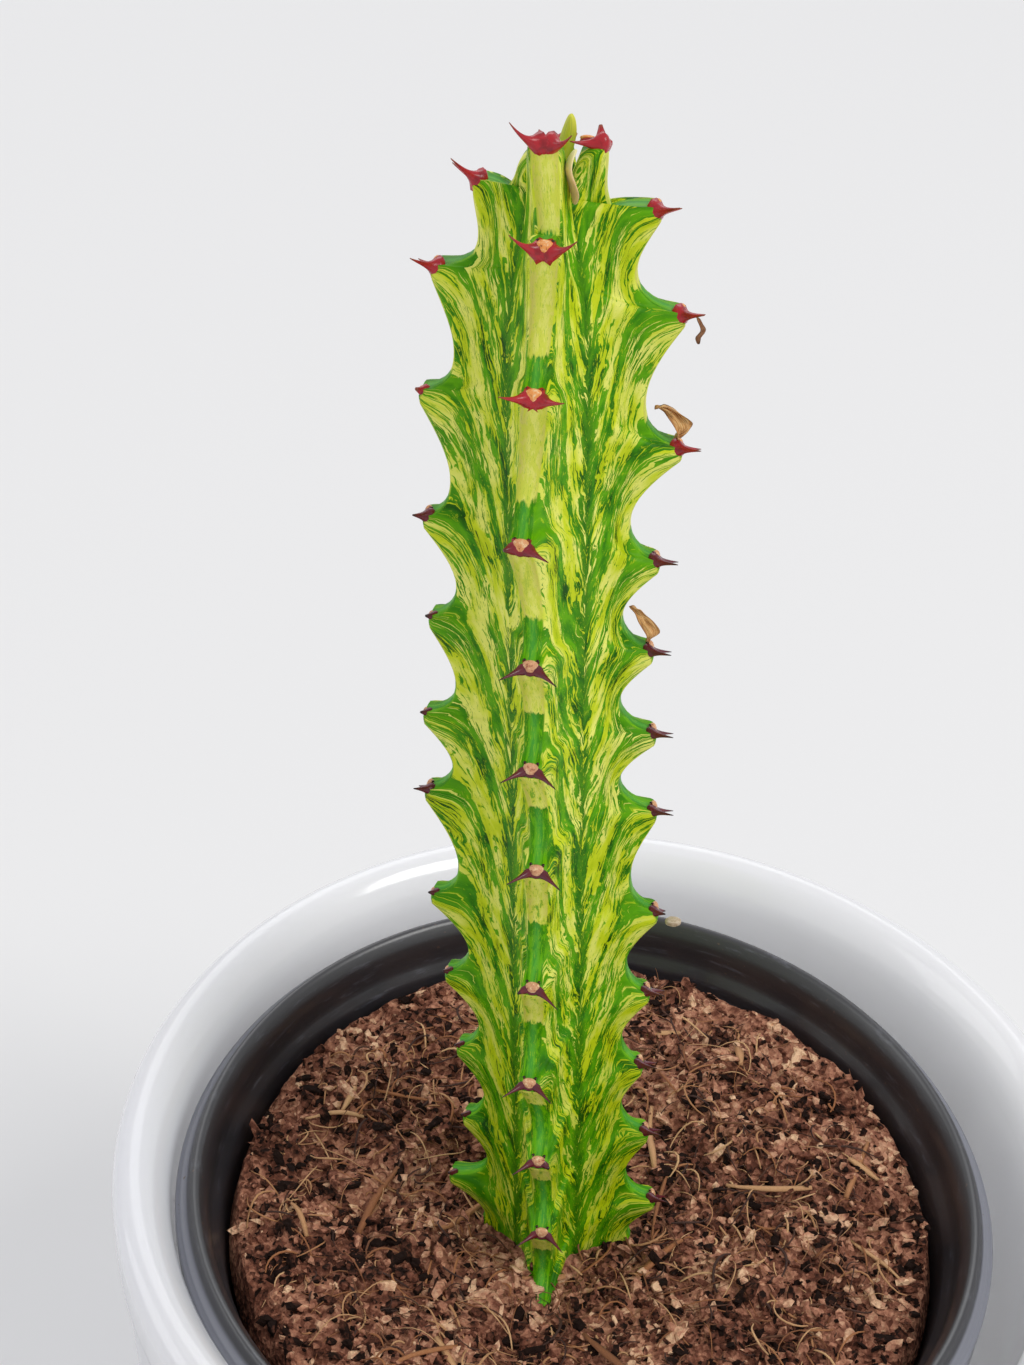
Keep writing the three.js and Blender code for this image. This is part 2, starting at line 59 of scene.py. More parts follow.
SOIL_LEVEL = 97.2
RIB_SEED = 17.0
SIDE_SEED = 7.3
Colour = tuple[float, float, float, float]
Triple = tuple[float, float, float]
Outline = list[tuple[float, float]]
MeshValues = dict[str, list[float]]
Corner = tuple[int, dict[str, float]]


class Slot(Enum):
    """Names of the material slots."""

    GLAZE = "white_glaze"
    PLASTIC = "black_plastic"
    MIX = "potting_mix"
    FLESH = "stem_flesh"
    YOUNG = "young_leaf_flesh"
    DRIED = "dried_leaf"


class Side(Enum):
    """The two flanks of a rib, as a sign along its sideways direction."""

    LEFT = -1
    RIGHT = 1


Flanks = list[tuple[Side, list[Corner]]]


def tint(code: str) -> Colour:
    """Turn a hex colour into a linear one.

    Args:
        code: Six hex digits as seen on a screen.

    Returns:
        Linear red, green, blue and an alpha of one.
    """
    parts = [int(code[i : i + 2], 16) / 255 for i in (0, 2, 4)]
    red, green, blue = (c / 12.92 if c <= 0.04045 else ((c + 0.055) / 1.055) ** 2.4 for c in parts)
    return (red, green, blue, 1.0)


def blend(low: float, high: float, share: float) -> float:
    """Return the value at a share of the way from low to high."""
    return low + (high - low) * share


def curve(start: float, pull: float, end: float, share: float) -> float:
    """Return the value at a share of the way along a curve that is pulled towards a middle value."""
    rest = 1 - share
    return rest * rest * start + 2 * rest * share * pull + share * share * end


def ease(share: float) -> float:
    """Return a share between 0 and 1 with soft ends."""
    held = min(1.0, max(0.0, share))
    return held * held * (3 - 2 * held)


class Value:
    """A number, vector or colour inside a material, in a form that takes plain sums."""

    def __init__(self, graph: "Graph", socket: bpy.types.NodeSocket) -> None:
        """Keep a node's output and the graph that it belongs to."""
        self.graph = graph
        self.socket = socket

    def __add__(self, other: "Value | float") -> "Value":
        """Return this value plus another."""
        return self.graph.math("ADD", self, other)

    def __radd__(self, other: float) -> "Value":
        """Return a plain number plus this value."""
        return self.graph.math("ADD", other, self)

    def __sub__(self, other: "Value | float") -> "Value":
        """Return this value less another."""
        return self.graph.math("SUBTRACT", self, other)

    def __mul__(self, other: "Value | float") -> "Value":
        """Return this value times another."""
        return self.graph.math("MULTIPLY", self, other)

    def __truediv__(self, other: float) -> "Value":
        """Return this value divided by a plain number."""
        return self.graph.math("DIVIDE", self, other)

    def __abs__(self) -> "Value":
        """Return the size of this value without its sign."""
        return self.graph.math("ABSOLUTE", self)


Number = Value | float
Shade = Value | Colour


class Graph:
    """A small builder of shader nodes for one material."""

    def __init__(self, name: str) -> None:
        """Start a material.

        Args:
            name: Name of the material.
        """
        self.material = bpy.data.materials.new(name)
        self.material.use_nodes = True
        self.tree = self.material.node_tree
        self.shader = self.tree.nodes["Principled BSDF"]

    def link(self, source: object, target: bpy.types.NodeSocket) -> None:
        """Join a source to an input socket.

        Args:
            source: A value of the graph, a plain number or a colour.
            target: The input socket.
        """
        if isinstance(source, Value):
            self.tree.links.new(source.socket, target)
        else:
            target.default_value = source

    def add(self, kind: str, output: str | int, settings: dict[str, object], inputs: dict) -> Value:
        """Add a node.

        Args:
            kind: Blender's name of the node.
            output: Name or number of the output that is wanted.
            settings: The node's own settings by name.
            inputs: Sources by the name or number of their input socket.

        Returns:
            The wanted output.
        """
        node = self.tree.nodes.new(kind)
        for name, setting in settings.items():
            setattr(node, name, setting)
        for name, source in inputs.items():
            self.link(source, node.inputs[name])
        return Value(self, node.outputs[output])

    def mesh_value(self, name: str) -> Value:
        """Return a number that the mesh carries under a name."""
        return self.add("ShaderNodeAttribute", "Fac", {"attribute_name": name}, {})

    def place(self) -> Value:
        """Return the point's place in the object's own axes, in metres."""
        return self.add("ShaderNodeTexCoord", "Object", {}, {})

    def vector(self, x: Number, y: Number, z: Number = 0.0) -> Value:
        """Return a vector of three numbers."""
        return self.add("ShaderNodeCombineXYZ", 0, {}, {0: x, 1: y, 2: z})

    def scaled(self, vector: Value, factors: Triple) -> Value:
        """Return a vector multiplied axis by axis."""
        return self.add("ShaderNodeVectorMath", 0, {"operation": "MULTIPLY"}, {0: vector, 1: factors})

    def radius(self, middle: tuple[float, float]) -> Value:
        """Measure the point's distance from an upright line.

        Args:
            middle: Where the line stands.

        Returns:
            The distance in millimetres.
        """
        flat = self.scaled(self.place(), (1 / MM, 1 / MM, 0.0))
        shift = {"operation": "SUBTRACT"}
        beside = self.add("ShaderNodeVectorMath", 0, shift, {0: flat, 1: (*middle, 0.0)})
        return self.add("ShaderNodeVectorMath", "Value", {"operation": "LENGTH"}, {0: beside})

    def math(self, kind: str, a: Number, b: Number = 0.0, clamp: bool = False) -> Value:
        """Work on numbers.

        Args:
            kind: Blender's name of the operation.
            a: First number.
            b: Second number, where the operation takes one.
            clamp: Whether the result is held between 0 and 1.

        Returns:
            The result.
        """
        return self.add("ShaderNodeMath", 0, {"operation": kind, "use_clamp": clamp}, {0: a, 1: b})

    def noise(
        self, vector: Value, scale: float, detail: float = 3.0, rough: float = 0.55, warp: float = 0.0
    ) -> Value:
        """Make cloudy noise.

        Args:
            vector: Where it is sampled.
            scale: Features per unit.
            detail: Octaves.
            rough: Strength of the finer octaves.
            warp: Distortion.

        Returns:
            The noise, between 0 and 1.
        """
        inputs = {"Vector": vector, "Scale": scale, "Detail": detail, "Roughness": rough}
        return self.add("ShaderNodeTexNoise", "Fac", {}, inputs | {"Distortion": warp})

    def grains(self, vector: Value, scale: float) -> tuple[Value, Value]:
        """Make a pattern of cells.

        Args:
            vector: Where they are sampled.
            scale: Cells per unit.

        Returns:
            The distance from a cell's middle, and the cell's random colour.
        """
        distance = self.add("ShaderNodeTexVoronoi", "Distance", {}, {"Vector": vector, "Scale": scale})
        return distance, Value(self, distance.socket.node.outputs["Color"])

    def ramp(self, factor: Number, stops: list[tuple[float, Colour]]) -> Value:
        """Read a colour from a ramp.

        Args:
            factor: Where on the ramp.
            stops: Places from 0 to 1 and their colours.

        Returns:
            The colour.
        """
        node = self.tree.nodes.new("ShaderNodeValToRGB")
        self.link(factor, node.inputs[0])
        points = node.color_ramp.elements
        while len(points) < len(stops):
            points.new(0.5)
        for point, (where, colour) in zip(points, stops, strict=True):
            point.position = where
            point.color = colour
        return Value(self, node.outputs["Color"])

    def step(self, value: Number, low: float, high: float) -> Value:
        """Make a soft step.

        Args:
            value: The number that is tested.
            low: Where the slope starts, at 0.
            high: Where it ends, at 1.

        Returns:
            The step, between 0 and 1.
        """
        inputs = {"Value": value, "From Min": low, "From Max": high}
        return self.add("ShaderNodeMapRange", "Result", {"interpolation_type": "SMOOTHSTEP"}, inputs)

    def between(self, low: Value, high: Value, share: Value) -> Value:
        """Return the number at a share of the way from low to high."""
        return low + (high - low) * share

    def paint(self, share: Number, under: Shade, over: Shade) -> Value:
        """Return one colour laid over another, by the share that shows."""
        inputs = {"Factor": share, "A": under, "B": over}
        return self.add("ShaderNodeMix", "Result", {"data_type": "RGBA"}, inputs)

    def bump(self, height: Value, depth: float, strength: float = 1.0) -> None:
        """Raise the surface by a height map.

        Args:
            height: Height between 0 and 1.
            depth: Depth of the relief in millimetres.
            strength: Share of the relief that shows.
        """
        inputs = {"Strength": strength, "Distance": depth * MM, "Height": height}
        self.link(self.add("ShaderNodeBump", "Normal", {}, inputs), self.shader.inputs["Normal"])

    def finish(self, colour: Shade, rough: Number, **fixed: float | Triple) -> bpy.types.Material:
        """Connect the colour and the roughness, and set fixed values.

        Args:
            colour: The surface's colour.
            rough: Its roughness.
            fixed: Values for other sockets, with underscores for spaces.

        Returns:
            The finished material.
        """
        self.link(colour, self.shader.inputs["Base Color"])
        self.link(rough, self.shader.inputs["Roughness"])
        for key, value in fixed.items():
            self.shader.inputs[key.replace("_", " ")].default_value = value
        return self.material


@dataclass(frozen=True)
class Tissue:
    """Patterns of the flesh at a point, which paint both its pale and its green parts."""

    tone: Value
    low: Value
    groove: Value
    strips: Value
    aside: Value
    on_crest: Value


@dataclass(frozen=True)
class MarbledFlesh:
    """Green flesh with cream streaks that flow up the grooves and out to each tooth."""

    lime: Colour = tint("B0C404")
    cream: Colour = tint("CBD924")
    butter: Colour = tint("E8EA72")
    leaf: Colour = tint("62A800")
    moss: Colour = tint("3A8400")
    dark: Colour = tint("184C00")
    olive_crest_shade: Colour = tint("CCC85C")
    crest_sheen_green: Colour = tint("52AA48")
    streaks_by_crest: float = 12.0
    streaks_by_groove: float = 6.5
    stream_levels: tuple[tuple[float, float], ...] = (
        (0.0, 0.58), (0.3, 0.6), (0.5, 0.56), (0.7, 0.44), (0.88, 0.2), (0.98, 0.16), (1.0, 0.4),
    )

    def material(self) -> bpy.types.Material:
        """Make the stem's material, driven by the streams that its mesh carries.

        Returns:
            The material.
        """
        g = Graph("marbled_flesh")
        names = ("stream", "height", "seed", "crest", "border", "aside", "depth")
        stream, height, seed, crest, border, aside, depth = (g.mesh_value(name) for name in names)
        # Greener and darker towards the soil: partly the stem's own colour, partly painted shade of the
        # lower stem.
        low = g.step(height, 75.0, 0.0)
        inner = g.step(depth, 0.26, 0.6)
        groove = g.step(depth, 0.76, 0.98)
        on_crest = g.step(crest, 0.3, 0.7)
        near, near_fine = self._streaks(g, stream, height, seed, self.streaks_by_crest)
        far, far_fine = self._streaks(g, stream, height, seed + 31.0, self.streaks_by_groove)
        fine = g.between(near_fine, far_fine, inner)
        patches = g.noise(g.vector(stream * 1.7, height * 0.09, seed + 60.0), 1.0, 1.0)
        paleness = g.between(near, far, inner) + self._bias(g, g.math("FRACT", stream)) - groove * 0.14
        paleness = paleness + (patches - 0.46) * 0.5 - (0.01 + low * 0.035)
        flank = g.step(paleness, -0.018, 0.018)
        rib_seed = g.math("FLOOR", (seed + 8.0) / RIB_SEED)
        strips = g.noise(g.vector(aside * 1.7, height * 0.42, rib_seed), 1.0, 4.0, 0.66, 0.3)
        pale = g.between(flank, self._ridge(g, strips, height, border), on_crest)
        tone = g.noise(g.vector(stream * 2.6, height * 0.2, seed), 1.0, 2.0)
        tissue = Tissue(tone, low, groove, strips, aside, on_crest)
        colour = g.paint(pale, self._greens(g, tissue), self._creams(g, tissue))
        flow = g.between(stream, aside, on_crest)
        flecks = g.noise(g.vector(flow * 16.0, height * 1.3, seed), 1.0, 3.0, 0.7)
        colour = g.paint(g.step(flecks, 0.6, 0.63) * 0.55, colour, self.leaf)
        colour = g.paint(g.step(flecks, 0.385, 0.36) * 0.45, colour, self.cream)
        g.bump(pale * 0.5 + fine * 0.6, 0.1, 0.6)
        return g.finish(colour, 0.36 + fine * 0.2, Specular_IOR_Level=0.14)

    def _streaks(
        self, g: Graph, stream: Value, height: Value, seed: Value, count: float
    ) -> tuple[Value, Value]:
        """Make ragged streaks along the streams.

        Args:
            g: The material that is made.
            stream: Number of the stream.
            height: Height above the soil.
            seed: Number of the flank.
            count: Streaks for each whole stream.

        Returns:
            The streaks' value, about nothing on average, and the fine noise in it.
        """
        wander = g.noise(g.vector(height * 0.3, stream * 3.0, seed), 1.0, 2.0)
        flow = stream * count + (wander - 0.5) * 3.2
        broad = g.noise(g.vector(flow, height * 0.26, seed), 1.0, 2.0, 0.5, 0.25)
        fine = g.noise(g.vector(flow * 2.0, height * 0.36, seed), 1.0, 3.0, 0.62, 0.45)
        return broad * 0.35 + fine * 1.25 - 0.8, fine

    def _ridge(self, g: Graph, strips: Value, height: Value, border: Value) -> Value:
        """Find the pale part of a crest, which starts nearer to each notch higher up.

        Args:
            g: The material that is made.
            strips: The long narrow marks of the crest.
            height: Height above the soil.
            border: Height above the notch below, and less than nothing on a tooth's upper side.

        Returns:
            How pale the crest is, between 0 and 1.
        """
        limit = 0.2 + g.step(height, 128.0, 40.0) * 4.4
        edge = g.step(border - limit + (strips - 0.5) * 3.0, -0.15, 0.3)
        marks = g.step(strips, 0.585, 0.605) * g.step(height, 118.0, 70.0)
        return g.math("SUBTRACT", edge, marks * 0.75, clamp=True)

    def _creams(self, g: Graph, tissue: Tissue) -> Value:
        """Paint the pale tissue, greener low down and, on the crest, with a painted highlight along its
        middle and painted shade on its sides.

        Args:
            g: The material that is made.
            tissue: The patterns that it is painted by.

        Returns:
            Its colour.
        """
        light = g.ramp(tissue.tone, [(0.28, self.lime), (0.45, self.cream), (0.6, self.butter)])
        # Low down the pale tissue turns lime, partly its own colour and partly painted shade.
        light = g.paint(tissue.low * 0.6, light, self.lime)
        # Painted light: the crest's middle, a little off centre, is painted butter as a highlight, and its
        # sides olive as painted shade.
        middle = g.step(abs(tissue.aside - 0.15), 1.15, 0.2)
        ridge = g.paint(middle, self.olive_crest_shade, self.butter)
        ridge = g.paint(g.step(tissue.strips, 0.44, 0.54) * 0.5, ridge, self.cream)
        return g.paint(tissue.on_crest, light, ridge)

    def _greens(self, g: Graph, tissue: Tissue) -> Value:
        """Paint the green tissue, with painted shade in the grooves and low down, and a painted sheen line
        along the crest.

        Args:
            g: The material that is made.
            tissue: The patterns that it is painted by.

        Returns:
            Its colour.
        """
        stops = [(0.3, self.dark), (0.42, self.moss), (0.55, self.leaf), (0.68, self.moss)]
        green = g.ramp(tissue.tone, stops)
        # Painted shade: the grooves, and a little the lower stem, are darkened towards dark green.
        green = g.paint(tissue.groove * 0.5 + tissue.low * 0.1, green, self.dark)
        ridge = g.paint(g.step(tissue.strips, 0.46, 0.56), self.moss, self.leaf)
        # Painted sheen: a lighter blue-green line down the middle of the green crest.
        ridge = g.paint(g.step(abs(tissue.aside), 0.7, 0.0) * 0.5, ridge, self.crest_sheen_green)
        return g.paint(tissue.on_crest, green, ridge)

    def _bias(self, g: Graph, band: Value) -> Value:
        """Return how much paler each stream is, from the crest's edge (0) to the tooth's top (1)."""
        grey = g.ramp(band, [(place, (level, level, level, 1)) for place, level in self.stream_levels])
        return (grey - 0.5) * 0.5


@dataclass(frozen=True)
class CrimsonHorn:
    """Horn of the spines: crimson when young, maroon when old, with a tan pad between a pair."""

    crimson: Colour = tint("AE1C28")
    maroon: Colour = tint("5C1F2C")
    wine: Colour = tint("6E1018")
    orange: Colour = tint("EC9A4E")
    tan: Colour = tint("D39B72")
    cream: Colour = tint("F0CFA0")
    rust: Colour = tint("8A4026")
    tip: Colour = tint("2B1210")

    def material(self) -> bpy.types.Material:
        """Make the spines' material.

        Returns:
            The material.
        """
        g = Graph("crimson_horn")
        along, middle, age, eye = (g.mesh_value(name) for name in ("along", "middle", "age", "eye"))
        cloud = g.noise(g.place(), 900.0, 3.0)
        rough_cloud = g.noise(g.place(), 2600.0, 4.0, 0.7)
        aged = g.step(age + (cloud - 0.5) * 0.5, 0.05, 0.6)
        horn = g.paint(aged, self.crimson, self.maroon)
        horn = g.paint(g.step(cloud, 0.48, 0.66) * 0.6, horn, self.wine)
        horn = g.paint(g.step(along, 0.7, 1.0), horn, g.paint(aged, self.rust, self.tip))
        pad = g.paint(aged, self.orange, self.tan)
        pad = g.paint(g.step(rough_cloud, 0.5, 0.66), pad, self.cream)
        pad = g.paint(g.step(rough_cloud, 0.44, 0.34), pad, self.rust)
        seam = g.step(middle + (cloud - 0.5) * 0.7, 0.4, 0.62)
        colour = g.paint(seam, horn, pad)
        colour = g.paint(eye, colour, self.tip)
        g.bump(cloud + rough_cloud * middle, 0.08, 0.6)
        rough = 0.26 + middle * 0.35
        return g.finish(colour, rough, Specular_IOR_Level=0.45)


@dataclass(frozen=True)
class YoungLeaf:
    """Soft yellow-green leaf tissue with a darker midline."""

    name: str
    base: Colour
    edge: Colour
    grain: Colour

    def material(self) -> bpy.types.Material:
        """Make the young leaf's material.

        Returns:
            The material.
        """
        g = Graph(self.name)
        along, aside = g.mesh_value("along"), g.mesh_value("aside")
        lines = g.noise(g.vector(aside * 5.0, along, 2.0), 2.0, 3.0)
        colour = g.paint(g.step(along, 0.35, 1.0), self.base, self.edge)
        colour = g.paint(g.step(lines, 0.5, 0.68) * 0.7, colour, self.grain)
        g.bump(lines, 0.06, 0.5)
        return g.finish(colour, 0.4, Subsurface_Weight=0.08)


@dataclass(frozen=True)
class PaperyTissue:
    """Dry, wrinkled leaf tissue."""

    name: str
    pale: Colour
    warm: Colour
    burnt: Colour

    def material(self) -> bpy.types.Material:
        """Make the dried tissue's material.

        Returns:
            The material.
        """
        g = Graph(self.name)
        along, aside = g.mesh_value("along"), g.mesh_value("aside")
        veins = g.noise(g.vector(aside * 4.0, along * 2.5, 1.0), 2.2, 4.0, 0.7)
        cloud = g.noise(g.place(), 700.0, 4.0, 0.65)
        colour = g.ramp(veins, [(0.3, self.burnt), (0.5, self.warm), (0.68, self.pale)])
        colour = g.paint(g.step(along + cloud * 0.3, 0.98, 1.18), colour, self.burnt)
        edge = g.step(abs(aside) + cloud * 0.4, 0.95, 1.25)
        colour = g.paint(edge * 0.75, colour, self.burnt)
        g.bump(veins + cloud, 0.16, 0.8)
        return g.finish(colour, 0.62)


@dataclass(frozen=True)
class WhiteGlaze:
    """Glossy white glaze with a faint lavender cast and slow ripples."""

    white: Colour = tint("E8E8EE")
    cool: Colour = tint("DCDDE8")

    def material(self) -> bpy.types.Material:
        """Make the cover pot's material.

        Returns:
            The material.
        """
        g = Graph("white_glaze")
        slow = g.noise(g.place(), 14.0, 2.0)
        specks = g.noise(g.place(), 1500.0, 2.0)
        colour = g.paint(g.step(slow, 0.35, 0.7), self.white, self.cool)
        g.bump(slow + specks * 0.05, 0.12, 0.35)
        rough = 0.1 + slow * 0.08
        shine = {"Coat_Weight": 0.35, "Coat_Roughness": 0.06}
        soft_body = {"Subsurface_Weight": 0.7, "Subsurface_Scale": 0.045}
        return g.finish(colour, rough, **shine, **soft_body, Subsurface_Radius=(1.0, 1.0, 1.0))


@dataclass(frozen=True)
class BlackPlastic:
    """Thin moulded black plastic with turning lines, scuffs, a little dust inside and a painted grey sheen
    on its flange.
    """

    black: Colour = tint("26262B")
    scuff: Colour = tint("5C5E68")
    dust: Colour = tint("5A4438")
    flange_sheen_grey: Colour = tint("82848F")

    def material(self, middle: tuple[float, float], flange: float) -> bpy.types.Material:
        """Make the nursery pot's material.

        Args:
            middle: Where the pot's axis stands.
            flange: Radius beyond which its rolled flange is painted grey as a painted sheen of reflected
                light.

        Returns:
            The material.
        """
        g = Graph("black_plastic")
        place = g.place()
        scuffs = g.noise(g.scaled(place, (1.0, 1.0, 6.0)), 160.0, 5.0, 0.7)
        cloud = g.noise(place, 60.0, 3.0)
        colour = g.paint(g.step(scuffs, 0.56, 0.72) * 0.5, self.black, self.scuff)
        # Painted sheen: beyond this radius the flange is painted light grey in place of the light it
        # reflects.
        edge = g.step(g.radius(middle), flange - 0.2, flange + 0.2)
        colour = g.paint(edge * 0.85, colour, self.flange_sheen_grey)
        specks = g.noise(place, 1400.0, 2.0)
        colour = g.paint(g.step(specks, 0.68, 0.74) * g.step(cloud, 0.45, 0.65), colour, self.dust)
        g.bump(scuffs + specks * 0.3, 0.05, 0.5)
        return g.finish(colour, 0.26 + cloud * 0.2, IOR=1.8)


@dataclass(frozen=True)
class CoirMix:
    """Red-brown potting mix of bark dust and coir."""

    name: str
    shade: Colour = tint("1E100B")
    brown: Colour = tint("744636")
    rust: Colour = tint("BA8268")
    bark: Colour = tint("F0C6A0")

    def material(self, tone_name: str = "") -> bpy.types.Material:
        """Make the mix's material.

        Args:
            tone_name: Mesh value that shifts each crumb's tone, or nothing.

        Returns:
            The material.
        """
        g = Graph(self.name)
        place = g.place()
        cloud = g.noise(place, 750.0, 4.0, 0.65)
        coarse = g.noise(place, 100.0, 3.0)
        distance, cell = g.grains(place, 1500.0)
        tone = cloud * 0.5 + coarse * 0.5
        if tone_name:
            tone = tone + (g.mesh_value(tone_name) - 0.5) * 0.5
        tone = tone + (cell - 0.5) * 0.2
        colour = g.ramp(tone, [(0.3, self.shade), (0.44, self.brown), (0.58, self.rust), (0.76, self.bark)])
        g.bump(cloud + distance * 0.7, 0.6, 1.0)
        return g.finish(colour, 0.88, Specular_IOR_Level=0.15)


@dataclass(frozen=True)
class Straw:
    """Dry fibre and split wood, from tan to ginger."""

    pale: Colour = tint("D8AC7C")
    ginger: Colour = tint("A4683E")
    old: Colour = tint("3E2218")

    def material(self) -> bpy.types.Material:
        """Make the fibres' material.

        Returns:
            The material.
        """
        g = Graph("straw")
        along, tone = g.mesh_value("along"), g.mesh_value("tone")
        lines = g.noise(g.vector(g.mesh_value("aside") * 6.0, along, tone), 3.0, 3.0)
        shade = tone + (lines - 0.5) * 0.5
        colour = g.ramp(shade, [(0.1, self.old), (0.5, self.ginger), (0.9, self.pale)])
        g.bump(lines, 0.1, 0.6)
        return g.finish(colour, 0.75)


@dataclass(frozen=True)
class PaleFloor:
    """Plain pale surface that the pot stands on."""

    grey: Colour = tint("E8E8E8")
    shade: Colour = tint("E0E0E1")

    def material(self) -> bpy.types.Material:
        """Make the floor's material.

        Returns:
            The material.
        """
        g = Graph("pale_floor")
        cloud = g.noise(g.place(), 3.0, 2.0)
        colour = g.paint(cloud * 0.05, self.grey, self.shade)
        return g.finish(colour, 0.9)


@dataclass
class Form:
    """Points, faces and per-corner values of one mesh while it is made, in millimetres."""

    points: list[tuple[float, float, float]] = field(default_factory=list)
    faces: list[tuple[int, ...]] = field(default_factory=list)
    values: dict[str, list[float]] = field(default_factory=dict)

    def ring(self, points: list[Vector]) -> list[int]:
        """Add points.

        Args:
            points: The points.

        Returns:
            Their numbers.
        """
        start = len(self.points)
        self.points.extend((p[0], p[1], p[2]) for p in points)
        return list(range(start, len(self.points)))

    def face(self, corners: tuple[int, ...], **values: tuple[float, ...]) -> None:
        """Add a face.

        Args:
            corners: Point numbers.
            values: Named values, one for each corner.
        """
        self.faces.append(corners)
        for name, numbers in values.items():
            self.values.setdefault(name, []).extend(numbers)

    def tube(
        self,
        rings: list[list[Vector]],
        values: MeshValues | None = None,
        round_values: MeshValues | None = None,
    ) -> None:
        """Add a closed skin through rings of points, each end drawn together in the middle.

        Args:
            rings: Rings with equal numbers of points.
            values: Named values with one number for each ring.
            round_values: Named values with one number for each point of a ring.
        """
        along = values or {}
        around = round_values or {}
        count = len(rings[0])
        numbers = [self.ring(points) for points in rings]
        ends = [self.ring([sum(points, Vector()) / count])[0] for points in (rings[0], rings[-1])]
        for level in range(len(rings) - 1):
            low, high = numbers[level], numbers[level + 1]
            for i in range(count):
                j = (i + 1) % count
                corners = (low[i], low[j], high[j], high[i])
                given = {name: (v[level],) * 2 + (v[level + 1],) * 2 for name, v in along.items()}
                given |= {name: (v[i], v[j], v[j], v[i]) for name, v in around.items()}
                self.face(corners, **given)
        for end, level in ((ends[0], 0), (ends[1], len(rings) - 1)):
            for i in range(count):
                j = (i + 1) % count
                pair = [numbers[level][i], numbers[level][j]]
                if level == 0:
                    pair.reverse()
                given = {name: (v[level],) * 3 for name, v in along.items()}
                given |= {name: (v[j], v[i], v[i]) for name, v in around.items()}
                self.face((*pair, end), **given)

    def skin(self, rings: list[list[int]], bottom: Vector, top: Vector) -> None:
        """Add the faces of a closed skin through rings that stand in the form.

        Args:
            rings: Point numbers of each ring, from the bottom to the top.
            bottom: Point that closes the first ring.
            top: Point that closes the last ring.
        """
        low_end, high_end = self.ring([bottom, top])
        sides = len(rings[0])
        for i in range(sides):
            j = (i + 1) % sides
            self.face((low_end, rings[0][j], rings[0][i]))
            self.face((high_end, rings[-1][i], rings[-1][j]))
            for low, high in zip(rings, rings[1:], strict=False):
                self.face((low[i], low[j], high[j], high[i]))

    def mesh(self, name: str) -> bpy.types.Mesh:
        """Make a mesh of the points and faces.

        Args:
            name: Name of the mesh.

        Returns:
            The mesh, in metres.
        """
        mesh = bpy.data.meshes.new(name)
        mesh.from_pydata([(x * MM, y * MM, z * MM) for x, y, z in self.points], [], self.faces)
        return mesh


def make_piece(
    name: str, form: Form, material: bpy.types.Material, slot: Slot, *nodes: str
) -> bpy.types.Object:
    """Turn a form into a piece that rides on the part.

    Args:
        name: Name of the piece.
        form: Its points and faces in millimetres.
        material: Its material.
        slot: A material slot; not used.
        nodes: CAD nodes that it stands for.

    Returns:
        The new object.
    """
    mesh = form.mesh(name)
    for key, numbers in form.values.items():
        layer = mesh.attributes.new(key, "FLOAT", "CORNER")
        layer.data.foreach_set("value", np.asarray(numbers, dtype=np.float32))
    mesh.polygons.foreach_set("use_smooth", [True] * len(mesh.polygons))
    mesh.materials.append(material)
    mesh.validate()
    mesh.update()
    piece = bpy.data.objects.new(name, mesh)
    bpy.context.scene.collection.objects.link(piece)
    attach(piece, "root")
    if nodes:
        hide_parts(*nodes)
    LOG.info("%s: %d points, %d faces", name, len(form.points), len(form.faces))
    return piece


def circle(middle: tuple[float, float], radius: float, height: float, steps: int) -> list[Vector]:
    """Set points round a level circle.

    Args:
        middle: Where its middle stands.
        radius: Its radius.
        height: Its height.
        steps: How many points it has.

    Returns:
        The points.
    """
    x, y = middle
    turns = (2 * math.pi * i / steps for i in range(steps))
    return [Vector((x + radius * math.cos(t), y + radius * math.sin(t), height)) for t in turns]


def oval(centre: Vector, wide: Vector, tall: Vector, steps: int) -> list[Vector]:
    """Set points round an oval.

    Args:
        centre: Its middle.
        wide: One of its half axes.
        tall: The other.
        steps: How many points it has.

    Returns:
        The points.
    """
    turns = (2 * math.pi * i / steps for i in range(steps))
    return [centre + wide * math.cos(t) + tall * math.sin(t) for t in turns]


def turned(profile: Outline, middle: tuple[float, float], base: float, sides: int) -> Form:
    """Turn a closed profile about an upright line.

    Args:
        profile: Radius and height pairs, both ends on the line.
        middle: Where the line stands.
        base: Height that the profile's heights are above.
        sides: Steps round the turn.

    Returns:
        The turned form.
    """
    form = Form()
    rings = [form.ring(circle(middle, radius, base + height, sides)) for radius, height in profile[1:-1]]
    form.skin(rings, Vector((*middle, base + profile[0][1])), Vector((*middle, base + profile[-1][1])))
    return form


def corner_arc(
    centre: tuple[float, float], radius: float, start: float, end: float, steps: int
) -> Outline:
    """Set points along a round corner of a profile.

    Args:
        centre: Middle of the round.
        radius: Its radius.
        start: First angle in degrees.
        end: Last angle in degrees.
        steps: Steps between them.

    Returns:
        Radius and height pairs.
    """
    angles = [math.radians(blend(start, end, i / steps)) for i in range(steps + 1)]
    return [(centre[0] + radius * math.cos(a), centre[1] + radius * math.sin(a)) for a in angles]


